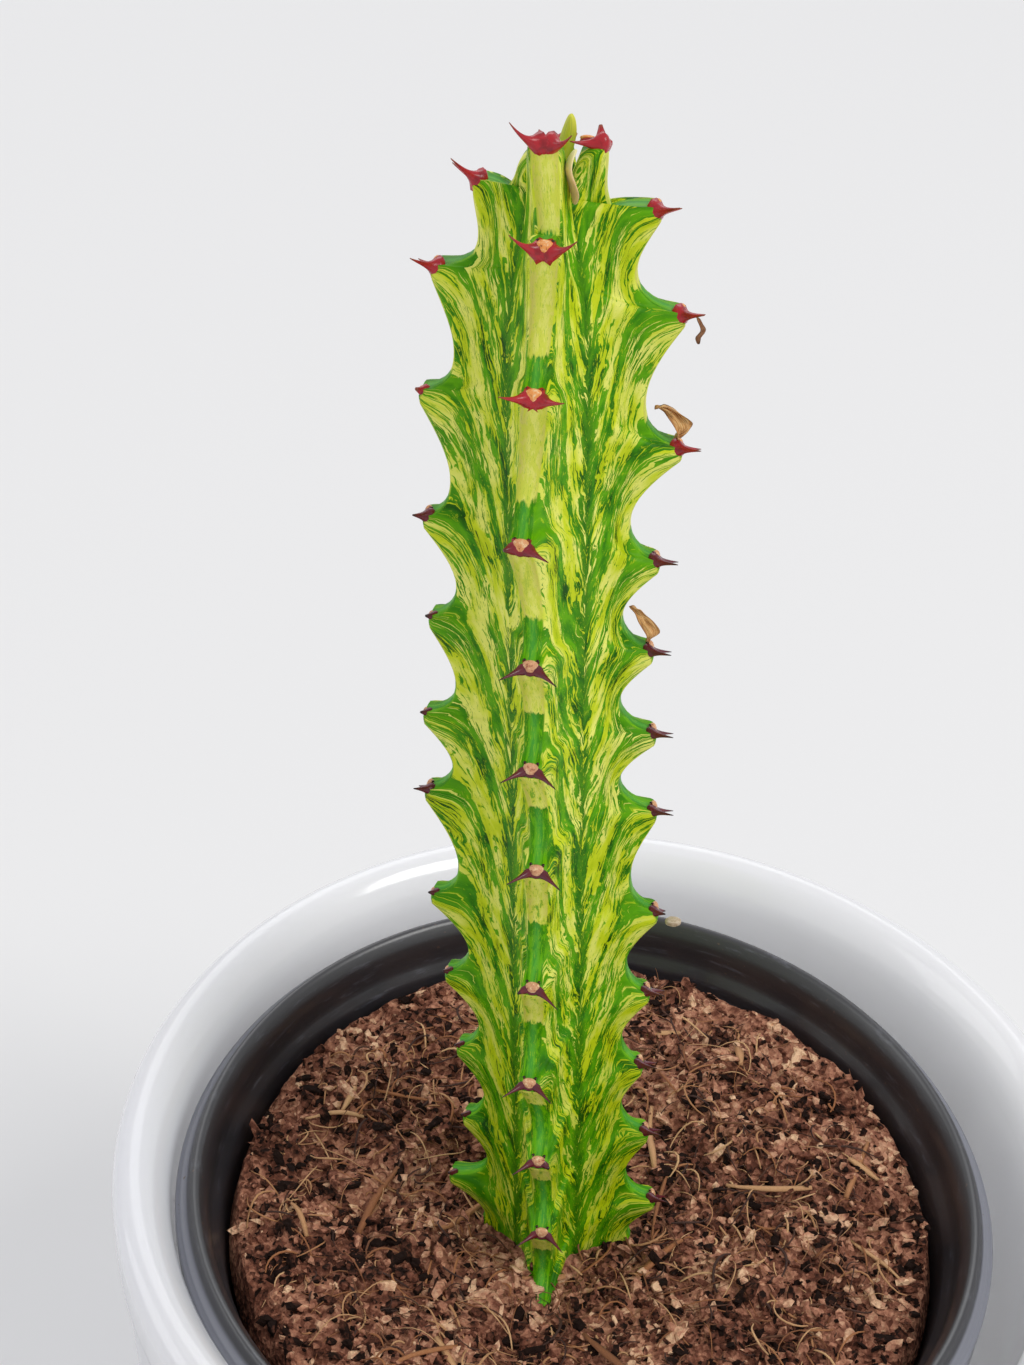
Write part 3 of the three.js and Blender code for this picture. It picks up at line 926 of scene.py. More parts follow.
@dataclass
class CoverPot:
    """White pot with a thick rounded lip, a nearly straight wall and a plain foot ring."""

    height: float = 108.0
    lip_radius: float = 63.0
    lip_height: float = 8.0
    crest_radius: float = 60.4
    body_radius: float = 62.4
    foot_radius: float = 58.0
    inner_radius: float = 56.0
    inner_floor_radius: float = 52.5
    floor: float = 9.0
    floor_round: float = 4.0
    foot_round: float = 1.5
    foot_recess: float = 1.5
    foot_ring: float = 6.0
    sides: int = 160

    def profile(self) -> Outline:
        """Draw the pot's section.

        Returns:
            Its radius and height pairs, from under the floor round to above it.
        """
        top, lip_round = self.height, self.lip_radius - self.crest_radius
        lip_foot = top - self.lip_height
        body_top = lip_foot - 1.0
        foot_inner = self.foot_radius - self.foot_ring
        wall = [
            (blend(self.foot_radius, self.body_radius, s), blend(self.foot_round, body_top, s))
            for s in (0.25, 0.5, 0.75, 0.97)
        ]
        return [
            (0.0, self.foot_recess),
            (foot_inner - 1.4, self.foot_recess),
            (foot_inner - 0.9, self.foot_recess - 0.1),
            (foot_inner - 0.1, 0.15),
            (foot_inner + 0.3, 0.0),
            *corner_arc((self.foot_radius - self.foot_round, self.foot_round), self.foot_round, -90, 0, 6),
            *wall,
            (self.body_radius, body_top),
            (self.body_radius + 0.06, body_top + 0.35),
            (self.lip_radius - 0.14, lip_foot - 0.2),
            (self.lip_radius - 0.02, lip_foot + 0.3),
            (self.lip_radius, lip_foot + 1.2),
            *corner_arc((self.crest_radius, top - lip_round), lip_round, 0, 90, 10),
            (self.crest_radius - 0.9, top - 0.14),
            (self.crest_radius - 1.8, top - 0.62),
            (self.inner_radius + 1.6, top - 1.85),
            (self.inner_radius + 0.7, top - 3.1),
            (self.inner_radius + 0.15, top - 4.6),
            (self.inner_radius, top - 6.5),
            (self.inner_radius - 0.1, top - 12),
            (blend(self.inner_floor_radius, self.inner_radius, 0.5), blend(self.floor, top, 0.5)),
            *corner_arc(
                (self.inner_floor_radius - self.floor_round, self.floor + self.floor_round),
                self.floor_round, 0, -90, 6,
            ),
            (0.0, self.floor),
        ]

    def build(self) -> None:
        """Make the white pot."""
        form = turned(self.profile(), (0.0, 0.0), 0.0, self.sides)
        make_piece("cover_pot_glazed", form, WhiteGlaze().material(), Slot.GLAZE, "cover_pot")


@dataclass
class NurseryPot:
    """Thin black pot with a rolled flange, a shining bead and a step below it."""

    middle: tuple[float, float] = (-2.8, -1.4)
    base: float = 9.3
    height: float = 94.5
    flange_radius: float = 52.5
    rim_height: float = 8.0
    skirt: float = 7.5
    bead_radius: float = 50.1
    step_radius: float = 48.4
    wall_radius: float = 46.9
    floor_radius: float = 36.6
    floor: float = 3.0
    wall: float = 1.1
    hole_radius: float = 4.0
    hole_circle: float = 27.0
    holes: int = 6
    sides: int = 144

    def profile(self) -> Outline:
        """Draw the pot's section.

        Returns:
            Its radius and height pairs, from under the floor round to above it.
        """
        top, flange, bead = self.height, self.flange_radius, self.bead_radius
        shoulder = top - self.rim_height
        outer_floor, outer_wall = self.floor_radius + self.wall, self.wall_radius + self.wall
        shares = (0.0, 0.3, 0.6, 0.98)
        slope = [(blend(outer_floor, outer_wall, s), blend(1.4, shoulder - 1.0, s)) for s in shares]
        inner = [
            (blend(self.wall_radius, self.floor_radius - 0.2, s), blend(shoulder, self.floor + 1.6, s))
            for s in shares
        ]
        return [
            (0.0, 1.6),
            (self.floor_radius - 13.2, 1.6),
            (self.floor_radius - 12.1, 0.1),
            (self.floor_radius - 11.6, 0.0),
            (self.floor_radius - 0.1, 0.0),
            (self.floor_radius + 0.6, 0.4),
            *slope,
            (self.step_radius + self.wall - 0.3, shoulder + 0.7),
            (self.step_radius + self.wall, shoulder + 2.0),
            (self.step_radius + self.wall, top - 4.2),
            (flange - 1.3, top - 4.5),
            (flange - 1.1, top - 4.9),
            (flange - 1.1, top - self.skirt + 0.2),
            (flange - 0.6, top - self.skirt),
            (flange - 0.15, top - self.skirt + 0.3),
            (flange, top - 3.4),
            (flange - 0.02, top - 2.7),
            (flange - 0.25, top - 2.3),
            (flange - 0.5, top - 2.25),
            (flange - 0.62, top - 1.95),
            (flange - 0.85, top - 1.75),
            (flange - 1.1, top - 1.8),
            (bead + 1.0, top - 1.5),
            (bead + 0.72, top - 1.0),
            (bead + 0.5, top - 0.35),
            (bead + 0.22, top - 0.06),
            (bead - 0.1, top),
            (bead - 0.5, top - 0.16),
            (bead - 0.8, top - 0.5),
            (self.step_radius + 0.35, top - 1.5),
            (self.step_radius + 0.05, top - 2.2),
            (self.step_radius - 0.1, top - 4.0),
            (self.step_radius - 0.2, shoulder + 2.6),
            (self.step_radius - 0.5, shoulder + 1.7),
            (self.wall_radius + 0.3, shoulder + 0.7),
            *inner,
            (self.floor_radius - 0.7, self.floor + 0.5),
            (self.floor_radius - 1.8, self.floor),
            (0.0, self.floor),
        ]

    def build(self) -> None:
        """Make the black pot and cut its drain holes."""
        form = turned(self.profile(), self.middle, self.base, self.sides)
        plastic = BlackPlastic().material(self.middle, self.bead_radius + 0.9)
        pot = make_piece("nursery_pot_moulded", form, plastic, Slot.PLASTIC, "nursery_pot")
        self._drill(pot)

    def _drill(self, pot: bpy.types.Object) -> None:
        """Cut the drain holes through the floor.

        Args:
            pot: The moulded pot.
        """
        drills = Form()
        for i in range(self.holes):
            angle = 2 * math.pi * i / self.holes
            x = self.middle[0] + self.hole_circle * math.cos(angle)
            y = self.middle[1] + self.hole_circle * math.sin(angle)
            drills.tube([circle((x, y), self.hole_radius, self.base + z, 32) for z in (-3, 8)])
        cutter_mesh = drills.mesh("drills")
        cutter = bpy.data.objects.new("drills", cutter_mesh)
        bpy.context.scene.collection.objects.link(cutter)
        cut = pot.modifiers.new("drain_holes", "BOOLEAN")
        cut.operation, cut.solver, cut.object = "DIFFERENCE", "EXACT", cutter
        with bpy.context.temp_override(object=pot, active_object=pot, selected_objects=[pot]):
            bpy.ops.object.modifier_apply(modifier=cut.name)
        bpy.data.objects.remove(cutter)
        bpy.data.meshes.remove(cutter_mesh)


@dataclass(frozen=True)
class Rib:
    """One rib: its teeth from the soil up, as tip height, tip reach, notch reach and sway.

    Short spines gives, by tooth, the shares of the full length that a worn pair has kept. Top spines
    gives the youngest pair as outward, sideways and up.
    """

    root: tuple[float, float]
    teeth: tuple[tuple[float, float, float, float], ...]
    bare_below: int
    bare_above: int
    spine_tilt: float
    upturn: float
    short_spines: dict[int, tuple[float, float]]
    top_spines: tuple[Triple, Triple]


def _teeth(*rows: tuple[float, ...]) -> tuple[tuple[float, float, float, float], ...]:
    """Return rows of a rib's teeth with a sway of nothing where none is given."""
    return tuple((row[0], row[1], row[2], row[3] if len(row) > 3 else 0.0) for row in rows)


WORN = (0.34, 0.34)
FRONT_TEETH = _teeth(
    (-3.5, 13.6, 9.8), (8.5, 12, 9.2, 0.2), (21, 11.9, 8.8, -0.2), (34, 12.1, 8.9, -1.2),
    (49.5, 12.6, 9, -0.7), (66.5, 12.8, 9, -0.2), (79.5, 12.4, 9, -0.8), (92, 12.2, 9, -0.8),
    (106, 12.6, 9.2, -1.6), (121.8, 12.6, 9, -0.3), (135.4, 11, 7, 0.5), (143.5, 6.8, 4, 0.05),
    (140.8, 3.4, 2.6),
)
RIGHT_TEETH = _teeth(
    (4.5, 13.5, 10), (16.5, 12.3, 9.2), (28, 11.3, 9), (40, 11.8, 9.3), (52.5, 12.4, 9.5),
    (67, 11.8, 8), (77.5, 11.4, 7.8), (88, 10.8, 7.8), (99, 11.1, 8.3), (112, 12.9, 9.5),
    (126, 12.7, 8.4), (136, 10.1, 5.6), (141.8, 5, 2.8),
)
BACK_TEETH = _teeth(
    (-4, 11.5, 9.5), (9, 12.2, 9.2), (22, 11.8, 8.8, 0.3), (35, 12, 9, 0.6), (50, 12.5, 9.2),
    (66, 12.6, 9.2, -0.4), (79, 12.4, 9), (91.5, 12, 8.9, 0.5), (105.5, 12.4, 9.2),
    (120, 12.2, 8.6), (132.5, 10.2, 6.6), (139.8, 5.2, 3.6), (139.6, 3.2, 2.6),
)
LEFT_TEETH = _teeth(
    (4.5, 12.9, 8.4), (15.5, 10.9, 8.6), (27.5, 11.4, 9), (39.5, 12.5, 10), (51.5, 13.8, 10.9),
    (66.5, 14, 11.2), (77, 13.8, 10.6), (89.5, 12.8, 10.2), (101.5, 13, 10.5), (115.5, 12.9, 9.8),
    (128.5, 11.3, 7.3), (137.4, 7.2, 4), (140.6, 2.1, 1.9),
)
RIBS = (
    Rib(
        (-9, 11.5), FRONT_TEETH, 1, 12, spine_tilt=0.0, upturn=2.7,
        short_spines={2: (1, 0.34), 4: (0.4, 1.1), 8: (0.4, 1)},
        top_spines=((2.1, -2.35, 0.85), (2.1, 1.85, 0.2)),
    ),
    Rib(
        (-3, 10.5), RIGHT_TEETH, 0, 13, spine_tilt=-0.55, upturn=0.6,
        short_spines={4: (0.58, 0.58)},
        top_spines=((-2.7, -1.3, 0.1), (-0.3, 0.9, 1.1)),
    ),
    Rib(
        (-9, 9.5), BACK_TEETH, 1, 12, spine_tilt=0.0, upturn=1.6,
        short_spines={},
        top_spines=((1.5, -1, -0.2), (1.5, 1.3, -0.2)),
    ),
    Rib(
        (-3, 8.8), LEFT_TEETH, 0, 12, spine_tilt=0.55, upturn=1.2,
        short_spines=dict.fromkeys(range(10), WORN) | {5: (0.7, 0.7), 8: (0.6, 0.6)},
        top_spines=((2.9, -2.1, 0.1), (2.3, 2.1, 2)),
    ),
)


@dataclass(frozen=True)
class Station:
    """One level of a rib's crest."""

    height: float
    reach: float
    half: float
    sway: float
    border: float


@dataclass
class Stem:
    """Four-ribbed stem with its teeth, and the pairs of spines on them."""

    foot: tuple[float, float] = (-7.0, -3.5)
    lean: float = math.radians(3.3)
    turn: float = math.radians(6.0)
    buried: float = 27.0
    groove: float = 3.9
    crest_half: float = 1.25
    notch_rise: float = 1.8
    flare: float = 2.2
    waist: float = 0.5
    blunt_half: float = 0.75
    growing_point: float = 138.2
    pit_reach: float = 1.9
    tooth_pitch: float = 12.5
    full_reach: float = 11.0
    reach_pull: float = 1.42
    half_pull: float = 1.5
    crest_shares: tuple[float, ...] = (0.0, 0.5, 0.88)
    crest_round: tuple[float, ...] = (0.06, 0.02, -0.09)
    crest_tones: tuple[float, ...] = (1.0, 1.0, 0.6)
    flare_shares: tuple[float, ...] = (
        0.0, 0.05, 0.11, 0.18, 0.26, 0.34, 0.43, 0.52, 0.61, 0.7, 0.78, 0.86, 0.93, 1.0,
    )
    flank_shares: tuple[float, ...] = (0.04, 0.11, 0.2, 0.3, 0.41, 0.53, 0.66, 0.82, 1.0)

    def middle(self, height: float) -> Vector:
        """Return the stem's middle at a height above the soil level."""
        return Vector((self.foot[0] - math.tan(self.lean) * height, self.foot[1], SOIL_LEVEL + height))

    def directions(self, number: int) -> tuple[Vector, Vector]:
        """Return a rib's outward and sideways directions."""
        angle = -math.pi / 2 - self.turn + number * math.pi / 2
        return Vector((math.cos(angle), math.sin(angle), 0)), Vector((-math.sin(angle), math.cos(angle), 0))

    def crest(self, rib: Rib) -> list[Station]:
        """Work out the levels of one rib's crest.

        Args:
            rib: The rib.

        Returns:
            Its levels from the buried end up.
        """
        root_height, root_reach = rib.root
        levels = [
            Station(-self.buried, root_reach * 0.62, 1.0, 0.0, 3.0),
            Station(root_height - 4, root_reach * 0.96, 1.1, 0.0, 3.0),
        ]
        low = (root_height, root_reach, 0.0)
        for i, (height, reach, notch, sway) in enumerate(rib.teeth):
            spare = rib.teeth[i + 1][0] - height if i + 1 < len(rib.teeth) else -1.0
            blunt = self.blunt_half * ease(abs(spare) / 5)
            for share in self.flare_shares:
                dip = self.waist * 6.75 * share * (1 - share) ** 2
                levels.append(Station(
                    blend(low[0], height - blunt, share),
                    blend(low[1], reach, share**self.flare) - dip,
                    self.crest_half * blend(0.86, 1.12, share),
                    blend(low[2], sway, share),
                    blend(0.0, height - blunt - low[0], share),
                ))
            rise = blend(self.notch_rise, -0.8, ease((height - 125) / 12))
            top = (height + blunt, reach - 0.35)
            low = (height + blunt + rise, notch, sway)
            through = (blend(top[0], low[0], 0.25), blend(reach, notch, 0.62))
            pull = [2 * through[k] - 0.5 * (top[k] + low[k]) for k in (0, 1)]
            levels.append(Station(height - blunt * 0.2, reach + 0.08, self.crest_half * 1.1, sway, -3.0))
            for step in (0.0, 0.2, 0.4, 0.6, 0.8):
                place = [curve(top[k], pull[k], low[k], step) for k in (0, 1)]
                half = self.crest_half * blend(1.0, 0.8, ease(step * 2))
                levels.append(Station(*place, half, sway, -3.0 * (1 - step)))
        levels.append(Station(low[0], low[1], 0.9, 0.0, 0.0))
        levels.append(Station(self.growing_point + 0.5, self.pit_reach, 0.8, 0.0, 1.0))
        return levels

    def core(self, height: float) -> float:
        """Return half of the square core, which narrows to the growing point."""
        return blend(self.groove, 1.5, ease((height - 122) / 21))

    def groove_between(self, crest: Station, other: Station) -> tuple[float, float]:
        """Work out the groove between two ribs at a level.

        Args:
            crest: The rib's station.
            other: The next rib's station.

        Returns:
            The groove's height and its distance from both ribs' middle planes.
        """
        tallest = max(crest.height, other.height)
        height = (crest.height + other.height) / 2 - 3.2 * ease((tallest - 130) / 9)
        return height, min(self.core(height), 0.62 * min(crest.reach, other.reach))

    def stream(self, rib: Rib, height: float, share: float, depth: float) -> float:
        """Number the streams of tissue that rise in the groove and turn out to each tooth's tip.

        Args:
            rib: The rib that they flow in.
            height: Height above the soil level.
            share: Place on the flank, from the crest's edge (0) to the groove (1).
            depth: The same by its reach alone, which keeps the streams even past the notches.

        Returns:
            The stream's number: it is whole at each notch and rises to the next tooth's upper side.
        """
        lowest = rib.teeth[0][0]
        tips = [lowest - 2 * self.tooth_pitch, lowest - self.tooth_pitch]
        for tooth in rib.teeth:
            if tooth[0] > tips[-1]:
                tips.append(tooth[0])
        tips.append(tips[-1] + self.tooth_pitch)
        j = min(max(0, sum(tip <= height for tip in tips) - 1), len(tips) - 2)
        rise = math.pi * (height - tips[j]) / (tips[j + 1] - tips[j])
        deep = 0.06 + 0.66 * blend(share, depth, ease(share / 0.5))
        inward = math.pi * deep
        angle = math.atan2(math.cos(rise) * math.sinh(inward), math.sin(rise) * math.cosh(inward))
        return j - angle / math.pi + 0.6 * deep + 2.6 * deep * deep

    def build_flesh(self) -> None:
        """Make the stem's body with its streams."""
        form = Form()
        crests = [self.crest(rib) for rib in RIBS]
        below: Flanks = []
        for stations in zip(*crests, strict=True):
            shared: dict[tuple[str, int], int] = {}
            strips = [
                (side, self._strip(form, shared, stations, number, side))
                for number in range(len(RIBS))
                for side in Side
            ]
            if below:
                self._join(form, below, strips)
            else:
                self._cap(form, strips, self.middle(-self.buried), True)
            below = strips
        self._cap(form, below, self.middle(self.growing_point), False)
        make_piece("stem_flesh_marbled", form, MarbledFlesh().material(), Slot.FLESH, "stem")

    def _strip(
        self,
        form: Form,
        shared: dict[tuple[str, int], int],
        stations: tuple[Station, ...],
        number: int,
        side: Side,
    ) -> list[Corner]:
        """Add one level of a flank, from the crest's middle to the groove.

        Args:
            form: The form that is made.
            shared: Points of the level that two flanks use.
            stations: The level's station on every rib.
            number: Number of the rib.
            side: Which of its flanks it is.

        Returns:
            Each point's number and the values that the mesh carries there.
        """
        outward, sideways = self.directions(number)
        crest, other = stations[number], stations[(number + side.value) % len(RIBS)]
        groove_height, core = self.groove_between(crest, other)
        groove = number if side is Side.RIGHT else (number - 1) % len(RIBS)
        across_crest = zip(self.crest_shares, self.crest_round, strict=True)
        places = [(0.0, crest.reach + lift, crest.half * share) for share, lift in across_crest]
        for share in self.flank_shares:
            along = curve(crest.reach, self.reach_pull * core, core, share)
            places.append((share, along, curve(crest.half, self.half_pull * crest.half, core, share)))
        strip = []
        for k, (share, along, across) in enumerate(places):
            height = blend(crest.height, groove_height, ease(share))
            aside = side.value * across + crest.sway * (1 - share) ** 2
            if k == 0:
                key = ("crest", number)
            elif k == len(places) - 1:
                key = ("groove", groove)
            else:
                key = ("flank", len(form.points))
            if key not in shared:
                shared[key] = form.ring([self.middle(height) + outward * along + sideways * aside])[0]
            depth = min(1.0, max(0.0, (self.full_reach - along) / (self.full_reach - core)))
            values = {
                "stream": self.stream(RIBS[number], height, share, depth),
                "height": height,
                "seed": RIB_SEED * number + SIDE_SEED * side.value,
                "crest": self.crest_tones[k] if k < len(self.crest_tones) else 0.0,
                "border": crest.border,
                "aside": side.value * across,
                "depth": share,
            }
            strip.append((shared[key], values))
        return strip

    def _join(self, form: Form, lower: Flanks, upper: Flanks) -> None:
        """Add the faces between two levels.

        Args:
            form: The form that is made.
            lower: The flanks of the lower level.
            upper: The flanks of the upper level.
        """
        for (side, low), (_, high) in zip(lower, upper, strict=True):
            for k in range(len(low) - 1):
                corners = [low[k], low[k + 1], high[k + 1], high[k]]
                if side is Side.LEFT:
                    corners.reverse()
                given = {key: tuple(c[1][key] for c in corners) for key in corners[0][1]}
                form.face(tuple(c[0] for c in corners), **given)

    def _cap(self, form: Form, strips: Flanks, point: Vector, lower: bool) -> None:
        """Close an end of the stem.

        Args:
            form: The form that is made.
            strips: The flanks' points and values at that end.
            point: The point that they are drawn to.
            lower: Whether it is the lower end.
        """
        end = form.ring([point])[0]
        for side, strip in strips:
            for a, b in zip(strip, strip[1:], strict=False):
                corners = [(a[0], a[1]), (b[0], b[1]), (end, b[1])]
                if (side is Side.LEFT) != lower:
                    corners.reverse()
                given = {key: tuple(c[1][key] for c in corners) for key in a[1]}
                form.face(tuple(c[0] for c in corners), **given)


@dataclass
class Spines:
    """Pairs of horned spines whose broad feet clasp a tan pad on each tooth's blunt end."""

    stem: Stem
    length: float = 3.4
    root_depth: float = 1.0
    foot_radius: float = 0.5
    young_foot: float = 0.3
    foot_fade: float = 0.85
    worn_share: float = 0.5
    shank_radius: float = 0.2
    spread: float = 0.66
    apart: float = 0.6
    upturn_from: float = 95.0
    rings: int = 12
    sides: int = 10
    lump_rings: int = 12
    lump_sides: int = 14

    def build(self) -> None:
        """Make the spines and pads of all four ribs."""
        form = Form()
        for number, rib in enumerate(RIBS):
            for tooth in range(rib.bare_below, rib.bare_above):
                self._pads(form, number, rib, tooth)
                for side in Side:
                    self._spine(form, number, rib, tooth, side)
        make_piece("spines_horned", form, CrimsonHorn().material(), Slot.FLESH, "stem")

    def _age(self, height: float) -> float:
        """Return 0 for the youngest spines and 1 for the oldest."""
        return 1 - ease((height - 70) / 60)

    def _worn(self, rib: Rib, tooth: int) -> bool:
        """Return whether both spines of a tooth are worn to stubs."""
        return max(rib.short_spines.get(tooth, (1.0, 1.0))) < self.worn_share

    def _tilt(self, rib: Rib, height: float) -> float:
        """Return how far a side rib's pairs are turned at a height."""
        return rib.spine_tilt * blend(1.1, 0.45, height / self.stem.growing_point)

    def _span(self, rib: Rib, tooth: int, side: Side, youth: float) -> Triple:
        """Measure a spine from base to tip, as outward, sideways and up.

        Args:
            rib: The rib.
            tooth: Number of the tooth that carries it.
            side: Which of the pair it is.
            youth: From 0 for the old spines to 1 for the newest.

        Returns:
            The three lengths.
        """
        one = 0 if side is Side.LEFT else 1
        if tooth + 1 == rib.bare_above:
            return rib.top_spines[one]
        height = rib.teeth[tooth][0]
        upward = 0.45 * rib.upturn * youth**1.6 / self.length + side.value * self._tilt(rib, height)
        plain = Vector((blend(0.75, 0.6, youth), side.value * self.spread, upward)).normalized()
        return tuple(plain * self.length * rib.short_spines.get(tooth, (1.0, 1.0))[one])

    def _spine(self, form: Form, number: int, rib: Rib, tooth: int, side: Side) -> None:
        """Add one curved spine.

        Args:
            form: The form that is made.
            number: Number of the rib.
            rib: The rib.
            tooth: Number of the tooth that carries it.
            side: Which of the pair it is.
        """
        height, reach, _, sway = rib.teeth[tooth]
        outward, sideways = self.stem.directions(number)
        youth = max(0.0, (height - self.upturn_from) / (self.stem.growing_point + 5 - self.upturn_from))
        bend = 0.55 * rib.upturn * youth**1.6
        wing = sideways + Vector((0, 0, self._tilt(rib, height) / self.spread))
        base = self.stem.middle(height) + outward * (reach - 0.5) + sideways * sway
        base += wing * side.value * self.apart
        given = self._span(rib, tooth, side, youth)
        span = outward * given[0] + sideways * given[1] + Vector((0, 0, given[2]))
        direction = span.normalized()
        across = direction.cross(Vector((0, 0, 1))).normalized()
        up = across.cross(direction).normalized()
        rings, along = [], []
        for k in range(self.rings + 1):
            past = blend(-self.root_depth, span.length, (k / self.rings) ** 0.85)
            place = past / span.length
            centre = base + span * place
            centre.z += bend * place * abs(place)
            shank = self.shank_radius * max(0.0, 1 - max(0.0, place)) ** 0.8
            foot = self.foot_radius + self.young_foot * (1 - self._age(height))
            foot *= 0.6 if self._worn(rib, tooth) else 1.0
            buried = math.sqrt(max(0.0, 1 + min(0.0, past) / self.root_depth))
            radius = 0.03 + (shank + foot * math.exp(-max(past, 0.0) / self.foot_fade)) * buried
            tall = 1 + 0.2 * math.exp(-max(past, 0.0) / 0.6)
            rings.append(oval(centre, across * radius, up * radius * tall, self.sides))
            along.append(max(0.0, place))
        age = [self._age(height)] * len(rings)
        nothing = [0.0] * len(rings)
        form.tube(rings, {"along": along, "age": age, "eye": nothing, "middle": nothing})

    def _pads(self, form: Form, number: int, rib: Rib, tooth: int) -> None:
        """Add the horn that joins a pair, the tan pad on it and the dark specks of the leaf's scar.

        Args:
            form: The form that is made.
            number: Number of the rib.
            rib: The rib.
            tooth: Number of the tooth that carries it.
        """
        height, reach, _, sway = rib.teeth[tooth]
        age = self._age(height)
        young = 1 - age
        if tooth + 1 == rib.bare_above and rib.upturn < 1:
            lumps = [
                ((-1.2, 0.0, 0.15), (1.3, 0.8, 0.42), 0.0, 0.0),
                ((-1.75, -0.1, 0.4), (0.75, 0.55, 0.28), 1.0, 0.0),
                ((-0.1, -0.1, 0.2), (0.34, 0.36, 0.3), 0.9, 0.0),
            ]
        else:
            lumps = [
                ((-0.4, 0.0, -0.15 - 0.15 * young), (0.68, 0.9, 0.4 + 0.2 * young), 0.35 * young, 0.0),
                ((-0.3 - 0.25 * abs(rib.spine_tilt), 0.0, 0.28), (0.5, 0.72, 0.9), 1.0, 0.0),
            ]
            if self._worn(rib, tooth):
                lumps = [((-0.2, 0.0, 0.05), (0.42, 0.62, 0.55), 0.75, 0.0)]
            elif tooth + 1 == rib.bare_above:
                lumps[1] = ((-0.45, 0.0, 0.15), (0.75, 1.15, 0.72), 0.3, 0.0)
            else:
                lumps += [((-0.72, aside, 0.92), (0.17, 0.15, 0.12), 0.0, 1.0) for aside in (-0.66, 0.66)]
        outward, sideways = self.stem.directions(number)
        tilt = math.atan(self._tilt(rib, height) / self.spread)
        wing = sideways * math.cos(tilt) + Vector((0, 0, math.sin(tilt)))
        rise = outward.cross(wing)
        rise = rise if rise.z > 0 else -rise
        root = self.stem.middle(height) + outward * reach + sideways * sway
        for place, size, middle, eye in lumps:
            centre = root + outward * place[0] + wing * place[1] + rise * place[2]
            self._lump(form, centre, (outward, wing, rise), size, (middle, eye, age))

    def _lump(
        self, form: Form, centre: Vector, axes: tuple[Vector, Vector, Vector], size: Triple, values: Triple
    ) -> None:
        """Add a rounded lump, a little wider above than below.

        Args:
            form: The form that is made.
            centre: Its middle.
            axes: Its outward, sideways and upward directions.
            size: Half its depth, width and height.
            values: Its pad share, its speck share and its age.
        """
        pad, eye, age = values
        rings, middles = [], []
        for k in range(1, self.lump_rings):
            polar = math.pi * k / self.lump_rings
            ring = []
            for i in range(self.lump_sides):
                angle = 2 * math.pi * i / self.lump_sides
                lift = math.sin(polar) * math.sin(angle)
                push = math.sin(polar) * math.cos(angle)
                wide = (1 + 0.5 * lift) * math.cos(polar)
                point = centre + axes[0] * size[0] * push + axes[1] * size[1] * wide
                ring.append(point + axes[2] * size[2] * lift)
            rings.append(ring)
            middles.append(pad * (0.5 + 0.5 * math.sin(polar)))
        count = len(rings)
        even = {"along": [0.0] * count, "age": [age] * count, "eye": [eye] * count}
        form.tube(rings, even | {"middle": middles})


@dataclass
class CurledBlade:
    """A small leaf by a rib, from stations of outward, sideways, height and width."""

    stem: Stem
    rib: int
    anchor: float
    stations: tuple[tuple[float, float, float, float], ...]
    thick: float
    turns: tuple[float, float]
    crinkle: float = 0.0
    fold: float = 0.0
    steps: int = 26
    sides: int = 20

    def form(self) -> Form:
        """Make the blade as a closed skin.

        Returns:
            Its form, with its length and width as mesh values.
        """
        outward, sideways = self.stem.directions(self.rib)
        middle = self.stem.middle(self.anchor)
        form, rings, along = Form(), [], []
        last = len(self.stations) - 1
        for k in range(self.steps + 1):
            share = k / self.steps
            out, aside, height, width = self._between(share * last)
            at = middle + outward * out + sideways * aside + Vector((0, 0, height))
            turn = blend(self.turns[0], self.turns[1], share)
            across = sideways * math.cos(turn) + outward * math.sin(turn)
            face = outward * math.cos(turn) - sideways * math.sin(turn)
            close = math.sqrt(max(0.02, 1 - (2 * share - 1) ** 8))
            ring = []
            for i in range(self.sides):
                angle = 2 * math.pi * i / self.sides
                edge, side = math.cos(angle), math.sin(angle)
                point = at + across * edge * width / 2 * close
                point += face * side * self.thick / 2 * close * (1 - 0.45 * edge * edge)
                point += face * self.fold * (edge * edge - 0.4) * width / 2
                if self.crinkle:
                    wave = noise.noise(Vector((edge * 1.7, share * 5.0, self.anchor)))
                    point += face * wave * self.crinkle * close
                ring.append(point)
            rings.append(ring)
            along.append(share)
        edges = [math.cos(2 * math.pi * i / self.sides) for i in range(self.sides)]
        form.tube(rings, {"along": along}, {"aside": edges})
        return form

    def _between(self, place: float) -> list[float]:
        """Find a station between the given ones, on a smooth curve through them.

        Args:
            place: Number of the station, with its fraction.

        Returns:
            Its outward, sideways, height and width.
        """
        last = len(self.stations) - 1
        k = min(int(place), last - 1)
        t = place - k
        p = [self.stations[min(max(k + d, 0), last)] for d in (-1, 0, 1, 2)]
        station = []
        for a, b, c, d in zip(*p, strict=True):
            square, cube = 2 * a - 5 * b + 4 * c - d, 3 * b - a - 3 * c + d
            station.append(0.5 * (2 * b + (c - a) * t + square * t * t + cube * t**3))
        return station


